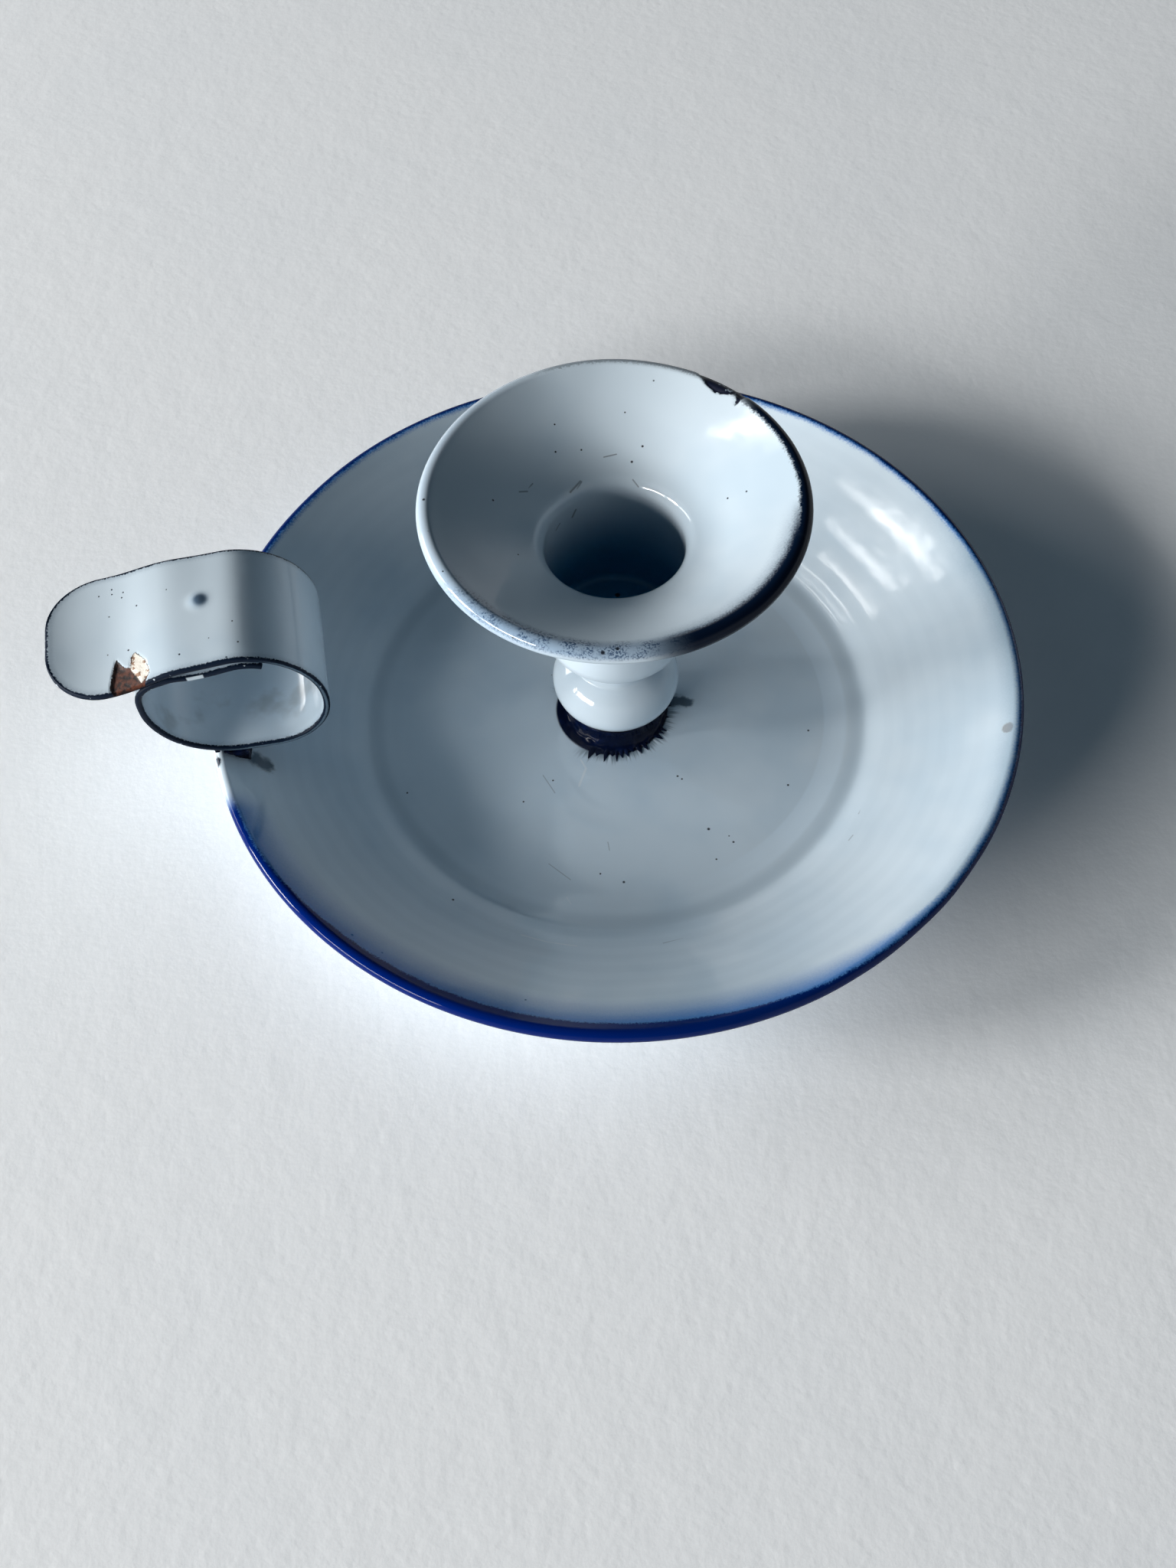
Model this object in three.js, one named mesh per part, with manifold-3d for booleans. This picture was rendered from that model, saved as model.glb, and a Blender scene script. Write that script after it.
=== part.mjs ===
// Enamelled sheet-steel chamberstick: a carrying dish, a stem with a knop, a candle socket drawn in one
// piece with its drip tray, and a strap handle bent into a finger loop under a thumb rest.
// Millimetres, +Z up. The origin is on the dish's axis, on the table. The handle points to -X.

import * as THREE from "three";
import { mergeVertices } from "three/addons/utils/BufferGeometryUtils.js";
import Module from "manifold-3d";

const degree = Math.PI / 180;

// Sheet and joints
const sheet = 1.0; // pressed steel with its coats of enamel
const joinGap = 0.3; // space left between two pieces that are joined

// Dish
const rimRadius = 72.5; // outermost edge of the rolled rim
const rimHeight = 14.5; // middle of the rolled rim above the table
const beadRadius = 1.25;
const floorRadius = 39; // where the flat floor starts to rise
const rimSlope = 36 * degree; // steepness of the wall just under the rim
const wallBlend = 0.3; // how softly the floor turns into the wall, as a part of the wall's width

// Stem: a foot, a round knop and a neck with a seat for the socket
const neckRadius = 7.6;
const knopRadius = 11.4;
const knopHalfHeight = 8;
const knopHeight = 11; // middle of the knop above the floor
const seatRadius = 9.2;
const seatFlare = 3.4; // height over which the neck opens out into its seat
const stemHeight = 23.2; // floor to seat

// Candle socket and drip tray
const boreRadius = 11.5; // takes a 22 mm household candle
const boreCorner = 1.4;
const boreDepth = 21.1; // bottom of the bore to the start of its rounded mouth
const mouthRadius = 3.6; // rounding from the bore into the tray
const trayRadius = 31.2; // outermost edge of the rolled lip
const trayRise = 11; // start of the rounded mouth to the middle of the lip
const trayInnerSlope = 24 * degree;
const trayOuterSlope = 36 * degree;
const lipRadius = 1.5;
const lipEnd = 20 * degree; // how far the lip turns down past level

// Handle strap
const strapWidth = 23.6;
const strapSheet = 1.1;
const handleSkew = 4 * degree; // the strap is set a little askew to the dish
const loopReach = 20.9; // middle of the rim in to the loop's end nearest the stem
const loopWidth = 31;
const loopHeight = 25.6;
const loopTopRadius = 14.4; // outer radius from the top down to the end nearest the stem
const loopStemRadius = 10.6; // outer radius from that end round to the bottom
const loopOuterRadius = 15; // outer radius from the bottom up to the outer side
const crownRadius = 45; // the strap falls away gently from the loop's top to the thumb rest
const crownTurn = 18 * degree;
const saddleRadius = 35; // and curls up again towards its end
const saddleLift = 9 * degree;
const thumbCorner = 9.5;
const lapGap = 0.6; // space between the strap and its tail, lapped under the top of the loop
const tailBend = 5; // outer radius where the tail turns in under the strap
const tailLap = 32 * degree; // how far the tail runs on past the loop's top
const pipRadius = 1.9;
const pipHeight = 0.45;
const pipOut = 4.4; // raised spot-weld pip, outward from the loop's top
const pipAcross = 1.8; // and across the strap

// Weld metal
const stemWeldRadius = 10.8;
const stemWeldHeight = 3.6;
const seatWeldWidth = 1.0;
const seatWeldHeight = 1.6;
const handleWeldReach = 7.4; // middle of the rim inwards
const handleWeldOver = 50 * degree; // how high on the rim's outer side it ends

// Smoothness
const sag = 0.035; // how far a facet of an arc may stray from it
const dishSteps = 60; // round the axis
const socketSteps = 48;
const stemSteps = 36;
const pipSteps = 16;
const wallSteps = 9; // along the dish's wall
const knopSteps = 12; // up the knop
const curveSteps = 6; // along each of the other hollow curves

// Levels and radii that follow from the sizes above
const floorTop = sheet;
const beadCentre = new THREE.Vector2(rimRadius - beadRadius, rimHeight);
const seatTop = floorTop + joinGap + stemHeight;
const boreFloor = seatTop + joinGap + sheet;
const mouthHeight = boreFloor + boreDepth;
const loopBottom = rimHeight + beadRadius;

const wasm = await Module();
wasm.setup();

function point(x, y) {
  return new THREE.Vector2(x, y);
}

function onCircle(centre, radius, angle) {
  return point(centre.x + radius * Math.cos(angle), centre.y + radius * Math.sin(angle));
}

// Steps that keep each facet of an arc within the sag.
function arcSteps(radius, turn) {
  return Math.ceil(Math.abs(turn) / (2 * Math.acos(1 - sag / radius)));
}

// Points along an arc, both ends included.
function arc(centre, radius, from, to) {
  const steps = arcSteps(radius, to - from);
  const points = [];
  for (let i = 0; i <= steps; i += 1) {
    points.push(onCircle(centre, radius, from + ((to - from) * i) / steps));
  }
  return points;
}

// Leaves out points that repeat the one before.
function distinct(points) {
  return points.filter((p, i) => i === 0 || p.distanceTo(points[i - 1]) > 1e-6);
}

// The same line moved sideways: positive to the right of its direction of travel.
function offset(points, distance) {
  return points.map((p, i) => {
    const before = points[Math.max(i - 1, 0)];
    const after = points[Math.min(i + 1, points.length - 1)];
    const intoPoint = p.clone().sub(i > 0 ? before : p).normalize();
    const outOfPoint = after.clone().sub(i < points.length - 1 ? p : after).normalize();
    const along = intoPoint.clone().add(outOfPoint).normalize();
    const bend = i > 0 && i < points.length - 1 ? along.dot(outOfPoint) : 1;
    return point(p.x + (along.y * distance) / bend, p.y - (along.x * distance) / bend);
  });
}

// A closed profile of one sheet thickness, from the line on its upper or inner face.
function sheetProfile(line, thickness) {
  return [...offset(line, thickness), ...line.slice().reverse()];
}

// Turns a profile of radius and height round the dish's axis.
function revolve(profile, steps) {
  return new THREE.LatheGeometry(profile, steps).rotateX(Math.PI / 2);
}

function toSolid(geometry) {
  const bare = geometry.clone();
  bare.deleteAttribute("normal");
  bare.deleteAttribute("uv");
  const merged = mergeVertices(bare, 1e-4);
  const index = merged.index.array;
  const kept = [];
  for (let i = 0; i < index.length; i += 3) {
    const [a, b, c] = index.slice(i, i + 3);
    if (a !== b && b !== c && c !== a) {
      kept.push(a, b, c);
    }
  }
  const mesh = new wasm.Mesh({
    numProp: 3,
    vertProperties: new Float32Array(merged.attributes.position.array),
    triVerts: new Uint32Array(kept),
  });
  return new wasm.Manifold(mesh);
}

function toGeometry(solid) {
  const mesh = solid.getMesh();
  const geometry = new THREE.BufferGeometry();
  geometry.setAttribute("position", new THREE.BufferAttribute(mesh.vertProperties, 3));
  geometry.setIndex(new THREE.BufferAttribute(mesh.triVerts, 1));
  return geometry;
}

// Upper face of the dish: the flat floor, then a hollow curve up to the rim.
function dishFace() {
  const rimPoint = onCircle(beadCentre, beadRadius, Math.PI / 2 + rimSlope);
  const wallWidth = rimPoint.x - floorRadius;
  const pull = wallBlend * wallWidth;
  const wall = new THREE.CubicBezierCurve(
    point(floorRadius, floorTop),
    point(floorRadius + pull, floorTop),
    point(rimPoint.x - pull * Math.cos(rimSlope), rimPoint.y - pull * Math.sin(rimSlope)),
    rimPoint,
  );
  return [point(0, floorTop), ...wall.getPoints(wallSteps)];
}

function dishGeometry() {
  const face = dishFace();
  const back = offset(face, sheet).slice(0, -1);
  // The wall's back meets the rolled rim where a line one sheet below the face cuts its circle.
  const inset = beadRadius - sheet;
  const backAngle = Math.PI / 2 + rimSlope + Math.acos(inset / beadRadius);
  const bead = arc(beadCentre, beadRadius, backAngle, Math.PI * 2.5 + rimSlope);
  const profile = [...back, ...bead.slice(0, -1), ...face.slice().reverse()];
  return revolve(profile, dishSteps);
}

// Outer face of the stem, from the foot up to the seat's edge.
function stemFace() {
  const middle = floorTop + knopHeight;
  const cut = Math.acos(neckRadius / knopRadius);
  const knop = new THREE.EllipseCurve(0, middle, knopRadius, knopHalfHeight, -cut, cut);
  const flare = new THREE.QuadraticBezierCurve(
    point(neckRadius, seatTop - seatFlare),
    point(neckRadius, seatTop - sheet),
    point(seatRadius, seatTop - sheet),
  );
  const foot = point(neckRadius, floorTop + joinGap);
  return [foot, ...knop.getPoints(knopSteps), ...flare.getPoints(curveSteps)];
}

function stemGeometry() {
  const face = stemFace();
  const middle = point(0, seatTop);
  const inside = offset([...face.slice(0, -1), point(neckRadius, seatTop), middle], -sheet);
  return revolve([...inside.reverse(), ...face, point(seatRadius, seatTop), middle], stemSteps);
}

// Inner face of the socket and upper face of the tray, from the axis out to the lip's edge.
function socketFace() {
  const corner = point(boreRadius - boreCorner, boreFloor + boreCorner);
  const mouth = point(boreRadius + mouthRadius, mouthHeight);
  const lip = point(trayRadius - lipRadius, mouthHeight + trayRise);
  const start = onCircle(mouth, mouthRadius, Math.PI / 2 + trayInnerSlope);
  const end = onCircle(lip, lipRadius, Math.PI / 2 + trayOuterSlope);
  // The tray's hollow curve leaves both ends along their slopes, which cross at this radius.
  const inner = Math.tan(trayInnerSlope);
  const outer = Math.tan(trayOuterSlope);
  const crossing = (end.y - start.y + inner * start.x - outer * end.x) / (inner - outer);
  const pull = point(crossing, start.y + inner * (crossing - start.x));
  const tray = new THREE.QuadraticBezierCurve(start, pull, end);
  return distinct([
    point(0, boreFloor),
    ...arc(corner, boreCorner, -Math.PI / 2, 0),
    ...arc(mouth, mouthRadius, Math.PI, Math.PI / 2 + trayInnerSlope),
    ...tray.getPoints(curveSteps),
    ...arc(lip, lipRadius, Math.PI / 2 + trayOuterSlope, -lipEnd),
  ]);
}

function socketGeometry() {
  return revolve(sheetProfile(socketFace(), sheet), socketSteps);
}

// Places in the strap's own plane: x is the distance out from the dish's axis, y the height.
const loop = {
  stemEnd: beadCentre.x - loopReach,
  outerEnd: beadCentre.x - loopReach + loopWidth,
  top: loopBottom + loopHeight,
};
loop.topCentre = point(loop.stemEnd + loopTopRadius, loop.top - loopTopRadius);
loop.stemCentre = point(loop.stemEnd + loopStemRadius, loopBottom + loopStemRadius);
loop.outerCentre = point(loop.outerEnd - loopOuterRadius, loopBottom + loopOuterRadius);
loop.crownCentre = point(loop.topCentre.x, loop.top - crownRadius);

// Outer face of the strap, from the end of the thumb rest round the loop to the end of its tail.
function strapFace() {
  const up = Math.PI / 2;
  const crownEnd = onCircle(loop.crownCentre, crownRadius, up - crownTurn);
  const saddle = onCircle(crownEnd, saddleRadius, up - crownTurn);
  const lapRadius = crownRadius - strapSheet - lapGap;
  const tailTopRadius = loopTopRadius - strapSheet - lapGap;
  // The tail's bend touches the loop's outer side and the lapped arc under the crown.
  const bendX = loop.outerEnd - tailBend - loop.crownCentre.x;
  const bendRise = Math.sqrt((lapRadius - tailBend) ** 2 - bendX ** 2);
  const bend = point(loop.outerEnd - tailBend, loop.crownCentre.y + bendRise);
  const bendEnd = Math.atan2(bendRise, bendX);
  return distinct([
    ...arc(saddle, saddleRadius, -up + saddleLift, -up - crownTurn),
    ...arc(loop.crownCentre, crownRadius, up - crownTurn, up),
    ...arc(loop.topCentre, loopTopRadius, up, up * 2),
    ...arc(loop.stemCentre, loopStemRadius, up * 2, up * 3),
    ...arc(loop.outerCentre, loopOuterRadius, up * 3, up * 4),
    ...arc(bend, tailBend, 0, bendEnd),
    ...arc(loop.crownCentre, lapRadius, bendEnd, up),
    ...arc(loop.topCentre, tailTopRadius, up, up + tailLap),
  ]);
}

// Turns a shape in the strap's plane into a solid across the strap, set at the handle's place.
function acrossStrap(outline, width) {
  const shape = new THREE.Shape(outline);
  const geometry = new THREE.ExtrudeGeometry(shape, { depth: width, bevelEnabled: false });
  geometry.translate(-beadCentre.x, 0, -width / 2);
  return geometry.applyMatrix4(handlePlace());
}

// From the strap's plane, measured from the middle of the rim, to the dish's frame.
function handlePlace() {
  const outward = new THREE.Vector3(-Math.cos(handleSkew), -Math.sin(handleSkew), 0);
  const upward = new THREE.Vector3(0, 0, 1);
  const across = outward.clone().cross(upward);
  return new THREE.Matrix4().makeBasis(outward, upward, across).setPosition(-beadCentre.x, 0, 0);
}

// The rounded outline of the thumb rest seen from above, as a cutter that keeps the whole strap inside it.
function strapPlan(tip) {
  const half = strapWidth / 2 + joinGap;
  const corner = thumbCorner + joinGap;
  const up = Math.PI / 2;
  const plan = new THREE.Shape([
    point(0, -half),
    ...arc(point(tip - corner, corner - half), corner, -up, 0),
    ...arc(point(tip - corner, half - corner), corner, 0, up),
    point(0, half),
  ]);
  const geometry = new THREE.ExtrudeGeometry(plan, { depth: loop.top * 2, bevelEnabled: false });
  geometry.rotateX(-Math.PI / 2);
  geometry.translate(-beadCentre.x, 0, 0);
  return geometry.applyMatrix4(handlePlace());
}

// A low round pip on the strap's top, raised by the weld to its tail.
function pipGeometry() {
  const x = loop.topCentre.x + pipOut;
  const top = loop.crownCentre.y + Math.sqrt(crownRadius ** 2 - pipOut ** 2);
  const crest = new THREE.QuadraticBezierCurve(
    point(pipRadius, -joinGap),
    point(pipRadius / 2, pipHeight),
    point(0, pipHeight),
  );
  const profile = [point(0, -joinGap), ...crest.getPoints(curveSteps)];
  const geometry = new THREE.LatheGeometry(profile, pipSteps);
  geometry.translate(x - beadCentre.x, top, pipAcross);
  return geometry.applyMatrix4(handlePlace());
}

function strapGeometry() {
  const face = strapFace();
  const band = toSolid(acrossStrap(sheetProfile(face, -strapSheet), strapWidth));
  const rounded = band.intersect(toSolid(strapPlan(face[0].x)));
  return toGeometry(rounded.add(toSolid(pipGeometry())));
}

// Weld metal round the foot, hollow towards the floor.
function stemWeldGeometry() {
  const inside = neckRadius + joinGap;
  const bottom = floorTop + joinGap;
  const top = bottom + stemWeldHeight;
  const hollow = new THREE.QuadraticBezierCurve(
    point(stemWeldRadius, bottom + joinGap),
    point(inside + joinGap, bottom + joinGap),
    point(inside + joinGap, top),
  );
  const start = point(inside, bottom);
  const edge = point(stemWeldRadius, bottom);
  return revolve([start, edge, ...hollow.getPoints(curveSteps), point(inside, top), start], stemSteps);
}

// Weld metal in the corner between the stem's seat and the bottom of the socket.
function seatWeldGeometry() {
  const inside = seatRadius + joinGap;
  const hollow = new THREE.QuadraticBezierCurve(
    point(inside, seatTop - seatWeldHeight),
    point(inside, seatTop - joinGap),
    point(inside + seatWeldWidth, seatTop),
  );
  const start = point(inside, seatTop);
  return revolve([start, ...hollow.getPoints(curveSteps), start], stemSteps);
}

// The space over the dish, with the joint's gap taken off, out to where the handle's weld ends on the rim.
function overDish() {
  const face = offset(dishFace(), -joinGap).slice(0, -1);
  const bead = arc(beadCentre, beadRadius + joinGap, Math.PI / 2 + rimSlope, handleWeldOver);
  const edge = bead.at(-1).x;
  return revolve([...face, ...bead, point(edge, loop.top), point(0, loop.top)], dishSteps);
}

// Weld metal between the bottom of the loop and the dish's rim.
function handleWeldGeometry() {
  const radius = loopOuterRadius + joinGap;
  const inner = beadCentre.x - handleWeldReach;
  const underLoop = arc(loop.outerCentre, radius, -Math.PI / 4, -Math.PI / 2);
  const outline = [
    point(inner, floorTop),
    point(underLoop[0].x, floorTop),
    ...underLoop,
    point(inner, loopBottom - joinGap),
  ];
  const block = toSolid(acrossStrap(outline, strapWidth));
  return toGeometry(block.intersect(toSolid(overDish())));
}

const holder = new THREE.Group();

function add(name, geometry, color, roughness) {
  const material = new THREE.MeshStandardMaterial({ color, roughness, metalness: 0 });
  const mesh = new THREE.Mesh(geometry, material);
  mesh.name = name;
  holder.add(mesh);
}

const whiteEnamel = 0xdfe5ea;
const darkEnamel = 0x141a33;
const glossy = 0.18;
const burnt = 0.45;

add("dish", dishGeometry(), whiteEnamel, glossy);
add("stem_knop", stemGeometry(), whiteEnamel, glossy);
add("candle_socket", socketGeometry(), whiteEnamel, glossy);
add("handle_strap", strapGeometry(), whiteEnamel, glossy);
add("stem_weld", stemWeldGeometry(), darkEnamel, burnt);
add("seat_weld", seatWeldGeometry(), whiteEnamel, glossy);
add("handle_weld", handleWeldGeometry(), darkEnamel, burnt);

export default holder;
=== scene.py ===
import functools
import math
import random

import bmesh
import bpy
from mathutils import Matrix, Vector, noise


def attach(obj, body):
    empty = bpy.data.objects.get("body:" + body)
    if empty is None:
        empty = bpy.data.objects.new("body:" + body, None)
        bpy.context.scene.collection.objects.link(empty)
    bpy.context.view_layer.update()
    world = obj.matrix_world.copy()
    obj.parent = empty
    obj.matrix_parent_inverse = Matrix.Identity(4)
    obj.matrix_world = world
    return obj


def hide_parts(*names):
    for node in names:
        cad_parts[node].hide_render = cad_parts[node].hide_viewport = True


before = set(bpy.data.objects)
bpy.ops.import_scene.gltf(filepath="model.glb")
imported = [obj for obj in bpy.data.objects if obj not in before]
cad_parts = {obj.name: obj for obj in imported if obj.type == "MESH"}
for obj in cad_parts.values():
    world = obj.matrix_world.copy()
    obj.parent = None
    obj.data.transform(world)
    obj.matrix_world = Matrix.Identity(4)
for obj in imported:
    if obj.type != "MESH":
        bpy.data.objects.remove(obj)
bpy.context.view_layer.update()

MM = 0.001
DEGREE = math.pi / 180
UP = math.pi / 2

# Sizes in millimetres, the same as the solids have
SHEET = 1.0
GAP = 0.3
BEAD_RADIUS = 1.25
BEAD = (72.5 - BEAD_RADIUS, 14.5)
FLOOR_RADIUS = 39.0
FLOOR_TOP = SHEET
RIM_SLOPE = 36 * DEGREE
WALL_BLEND = 0.3

NECK_RADIUS = 7.6
KNOP_RADIUS = 11.4
KNOP_HALF_HEIGHT = 8.0
KNOP_MIDDLE = FLOOR_TOP + 11.0
SEAT_RADIUS = 9.2
SEAT_FLARE = 3.4
SEAT_TOP = FLOOR_TOP + GAP + 23.2

BORE_RADIUS = 11.5
BORE_CORNER = 1.4
BORE_FLOOR = SEAT_TOP + GAP + SHEET
MOUTH_RADIUS = 3.6
MOUTH = (BORE_RADIUS + MOUTH_RADIUS, BORE_FLOOR + 21.1)
LIP_RADIUS = 1.5
LIP = (31.2 - LIP_RADIUS, MOUTH[1] + 11.0)
TRAY_INNER_SLOPE = 30.4 * DEGREE  # a straighter tray than the solid's
TRAY_OUTER_SLOPE = 32.2 * DEGREE
LIP_END = 20 * DEGREE

STRAP_HALF = 11.8
STRAP_SHEET = 1.1
STRAP_EDGE = 0.42  # rounding of the strap's edges
HANDLE_SKEW = 4 * DEGREE
LOOP_BOTTOM = BEAD[1] + BEAD_RADIUS
LOOP_TOP = LOOP_BOTTOM + 25.6
LOOP_STEM_END = BEAD[0] - 20.9
LOOP_OUTER_END = LOOP_STEM_END + 31.0
TOP_RADIUS = 14.4
STEM_RADIUS = 10.6
OUTER_RADIUS = 15.0
CROWN_RADIUS = 45.0
CROWN_TURN = 18 * DEGREE
SADDLE_RADIUS = 35.0
SADDLE_LIFT = 9 * DEGREE
THUMB_CORNER = 9.5
LAP_GAP = 0.6
TAIL_BEND = 5.0
TAIL_LAP = 32 * DEGREE
TOP_CENTRE = (LOOP_STEM_END + TOP_RADIUS, LOOP_TOP - TOP_RADIUS)
STEM_CENTRE = (LOOP_STEM_END + STEM_RADIUS, LOOP_BOTTOM + STEM_RADIUS)
OUTER_CENTRE = (LOOP_OUTER_END - OUTER_RADIUS, LOOP_BOTTOM + OUTER_RADIUS)
CROWN_CENTRE = (TOP_CENTRE[0], LOOP_TOP - CROWN_RADIUS)

STEM_WELD_RADIUS = 10.8
STEM_WELD_HEIGHT = 3.6
SEAT_WELD_WIDTH = 1.0
SEAT_WELD_HEIGHT = 1.6


# Lines of (radius or distance out, height)

def mixed(a, b, part):
    return tuple(p + (q - p) * part for p, q in zip(a, b))


def smooth(low, high, value):
    part = min(max((value - low) / (high - low), 0.0), 1.0)
    return part * part * (3 - 2 * part)


def on_circle(centre, radius, angle):
    return (centre[0] + radius * math.cos(angle), centre[1] + radius * math.sin(angle))


def arc(centre, radius, start, stop, steps):
    return [on_circle(centre, radius, start + (stop - start) * i / steps) for i in range(steps + 1)]


def straight(a, b, steps):
    return [mixed(a, b, i / steps) for i in range(steps + 1)]


def bezier(corners, steps):
    line = []
    for i in range(steps + 1):
        points = list(corners)
        while len(points) > 1:
            points = [mixed(a, b, i / steps) for a, b in zip(points, points[1:])]
        line.append(points[0])
    return line


def distinct(points):
    kept = [points[0]]
    for p in points[1:]:
        if math.dist(p, kept[-1]) > 1e-6:
            kept.append(p)
    return kept


def direction(points, i):
    before, after = points[max(i - 1, 0)], points[min(i + 1, len(points) - 1)]
    reach = math.dist(before, after)
    return ((after[0] - before[0]) / reach, (after[1] - before[1]) / reach)


def offset(points, distance):
    """The same line moved sideways: positive to the right of its direction of travel."""
    moved = []
    for i, p in enumerate(points):
        along = direction(points, i)
        moved.append((p[0] + along[1] * distance, p[1] - along[0] * distance))
    return moved


def lengths(points):
    total = [0.0]
    for a, b in zip(points, points[1:]):
        total.append(total[-1] + math.dist(a, b))
    return total


def resampled(points, step):
    """The same line at even steps."""
    total = lengths(points)
    count = round(total[-1] / step)
    line, k = [], 0
    for i in range(count + 1):
        target = total[-1] * i / count
        while k < len(points) - 2 and total[k + 1] < target:
            k += 1
        line.append(mixed(points[k], points[k + 1], (target - total[k]) / (total[k + 1] - total[k])))
    return line


def eased(points, reach):
    """The same line with its changes of bend softened over a few steps. Its ends stay."""
    line = []
    for i in range(len(points)):
        n = min(reach, i, len(points) - 1 - i)
        near = points[i - n:i + n + 1]
        line.append(tuple(sum(q[k] for q in near) / len(near) for k in (0, 1)))
    return line


# Meshes

def linked(name, data):
    """A new object in the scene."""
    obj = bpy.data.objects.new(name, data)
    bpy.context.scene.collection.objects.link(obj)
    return obj


def give(mesh, key, numbers):
    """Gives each point of a mesh a number of its own."""
    mesh.attributes.new(key, "FLOAT", "POINT").data.foreach_set("value", numbers)


def smooth_faces(mesh):
    mesh.polygons.foreach_set("use_smooth", [True] * len(mesh.polygons))


def mesh_object(name, points, faces, values):
    """A smooth object from points in millimetres, with values of its own for each point."""
    mesh = bpy.data.meshes.new(name)
    mesh.from_pydata([Vector(p) * MM for p in points], [], faces)
    turn_outward(mesh)
    for key, numbers in values.items():
        give(mesh, key, numbers)
    smooth_faces(mesh)
    return linked(name, mesh)


def turn_outward(mesh):
    shape = bmesh.new()
    shape.from_mesh(mesh)
    bmesh.ops.recalc_face_normals(shape, faces=shape.faces)
    shape.to_mesh(mesh)
    shape.free()


def joined(a, b):
    """Faces between two rings of point numbers; a ring of one point is a pole."""
    count = max(len(a), len(b))
    faces = []
    for i in range(count):
        j = (i + 1) % count
        corners = [a[i % len(a)], a[j % len(a)], b[j % len(b)], b[i % len(b)]]
        faces.append(list(dict.fromkeys(corners)))
    return faces


def lathe(name, profile, segments, warp, values=None):
    """Turns a profile round the axis. One that doesn't start and end on the axis is closed."""
    points, rings, numbers = [], [], {key: [] for key in values or {}}
    for i, (radius, height) in enumerate(profile):
        count = segments if radius > 1e-6 else 1
        rings.append(range(len(points), len(points) + count))
        for k in range(count):
            angle = 2 * math.pi * k / segments
            r, z = warp(radius, height, angle)
            points.append((r * math.cos(angle), r * math.sin(angle), z))
        for key in numbers:
            numbers[key] += [values[key][i]] * count
    pairs = list(zip(rings, rings[1:]))
    if len(rings[0]) > 1:
        pairs.append((rings[-1], rings[0]))
    faces = [face for a, b in pairs for face in joined(a, b)]
    return mesh_object(name, points, faces, numbers)


def ripple(angle, turns, seed):
    """Even noise round the axis, about -1 to 1."""
    return 1.6 * noise.noise(Vector((math.cos(angle) * turns, math.sin(angle) * turns, seed)))


def apart(angle, middle):
    """How far an angle is from another, in degrees."""
    return abs((angle / DEGREE - middle + 180) % 360 - 180)


# Dish

BACK_SKIP = 3  # the backs of the sheets need fewer rings
DISH_SEGMENTS = 320
FLOOR_SWAY = 0.1  # how far the floor is from flat
RIM_WOBBLE = 0.12  # how far the rim is from round
RIM_LIFT = 0.14  # and from level
RIPPLES = ((43.0, 59.0, 4.6, 0.004), (57.0, 69.0, 7.6, 0.005))  # from and to radius, spacing, height
RING_RISE = 0.1  # slope towards which the ring between the floor and the bend grows
RING_SOFT = 5.0
BEND_END = 52.0  # radius at which the sharp bend runs out into the wall
BEND_SLOPE = (0.466, 0.01)  # slope there, and how fast it grows inward
BEND_SOFT = 0.4
RIM_DENTS = ((306, 7, 0.26), (318, 5, 0.16), (296, 4, 0.1), (140, 8, 0.15))  # degrees, width, depth


def dish_face():
    """Upper face: the flat floor, then a hollow curve up to the rim."""
    rim = on_circle(BEAD, BEAD_RADIUS, UP + RIM_SLOPE)
    pull = WALL_BLEND * (rim[0] - FLOOR_RADIUS)
    lower = (FLOOR_RADIUS + pull, FLOOR_TOP)
    upper = (rim[0] - pull * math.cos(RIM_SLOPE), rim[1] - pull * math.sin(RIM_SLOPE))
    floor = straight((0.0, FLOOR_TOP), (FLOOR_RADIUS, FLOOR_TOP), 26)
    wall = bezier([(FLOOR_RADIUS, FLOOR_TOP), lower, upper, rim], 120)
    end = min(wall, key=lambda p: abs(p[0] - BEND_END))
    return distinct(floor + [bent(p, end) if p[0] < end[0] else p for p in wall])


def bent(point, end):
    """The wall's foot as spun: a nearly flat ring, then a crisp bend up."""
    radius = point[0]
    inward = end[0] - radius
    out = radius - FLOOR_RADIUS
    ring = FLOOR_TOP + RING_RISE * out * out / (out + RING_SOFT)
    rise = end[1] - inward * (BEND_SLOPE[0] + BEND_SLOPE[1] * inward)
    soft = BEND_SOFT * smooth(0.0, 3.0, inward) * smooth(0.0, 4.0, out)
    height = (ring + rise + math.sqrt((ring - rise) ** 2 + soft ** 2)) / 2
    return (radius, height)


def dish_profile():
    """Profile from the axis over the rim and back, and how far each point is inward from the rim's top."""
    face = dish_face()
    back = offset(face, SHEET)[:-1:BACK_SKIP]
    back_angle = UP + RIM_SLOPE + math.acos((BEAD_RADIUS - SHEET) / BEAD_RADIUS)
    bead = arc(BEAD, BEAD_RADIUS, math.pi * 2.5 + RIM_SLOPE, back_angle, 44)[1:]
    profile = face + bead + back[::-1]
    profile[-1] = (0.0, 0.0)
    travelled = lengths(profile)
    top = max(range(len(profile)), key=lambda i: profile[i][1])
    return profile, [travelled[top] - length for length in travelled]


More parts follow.
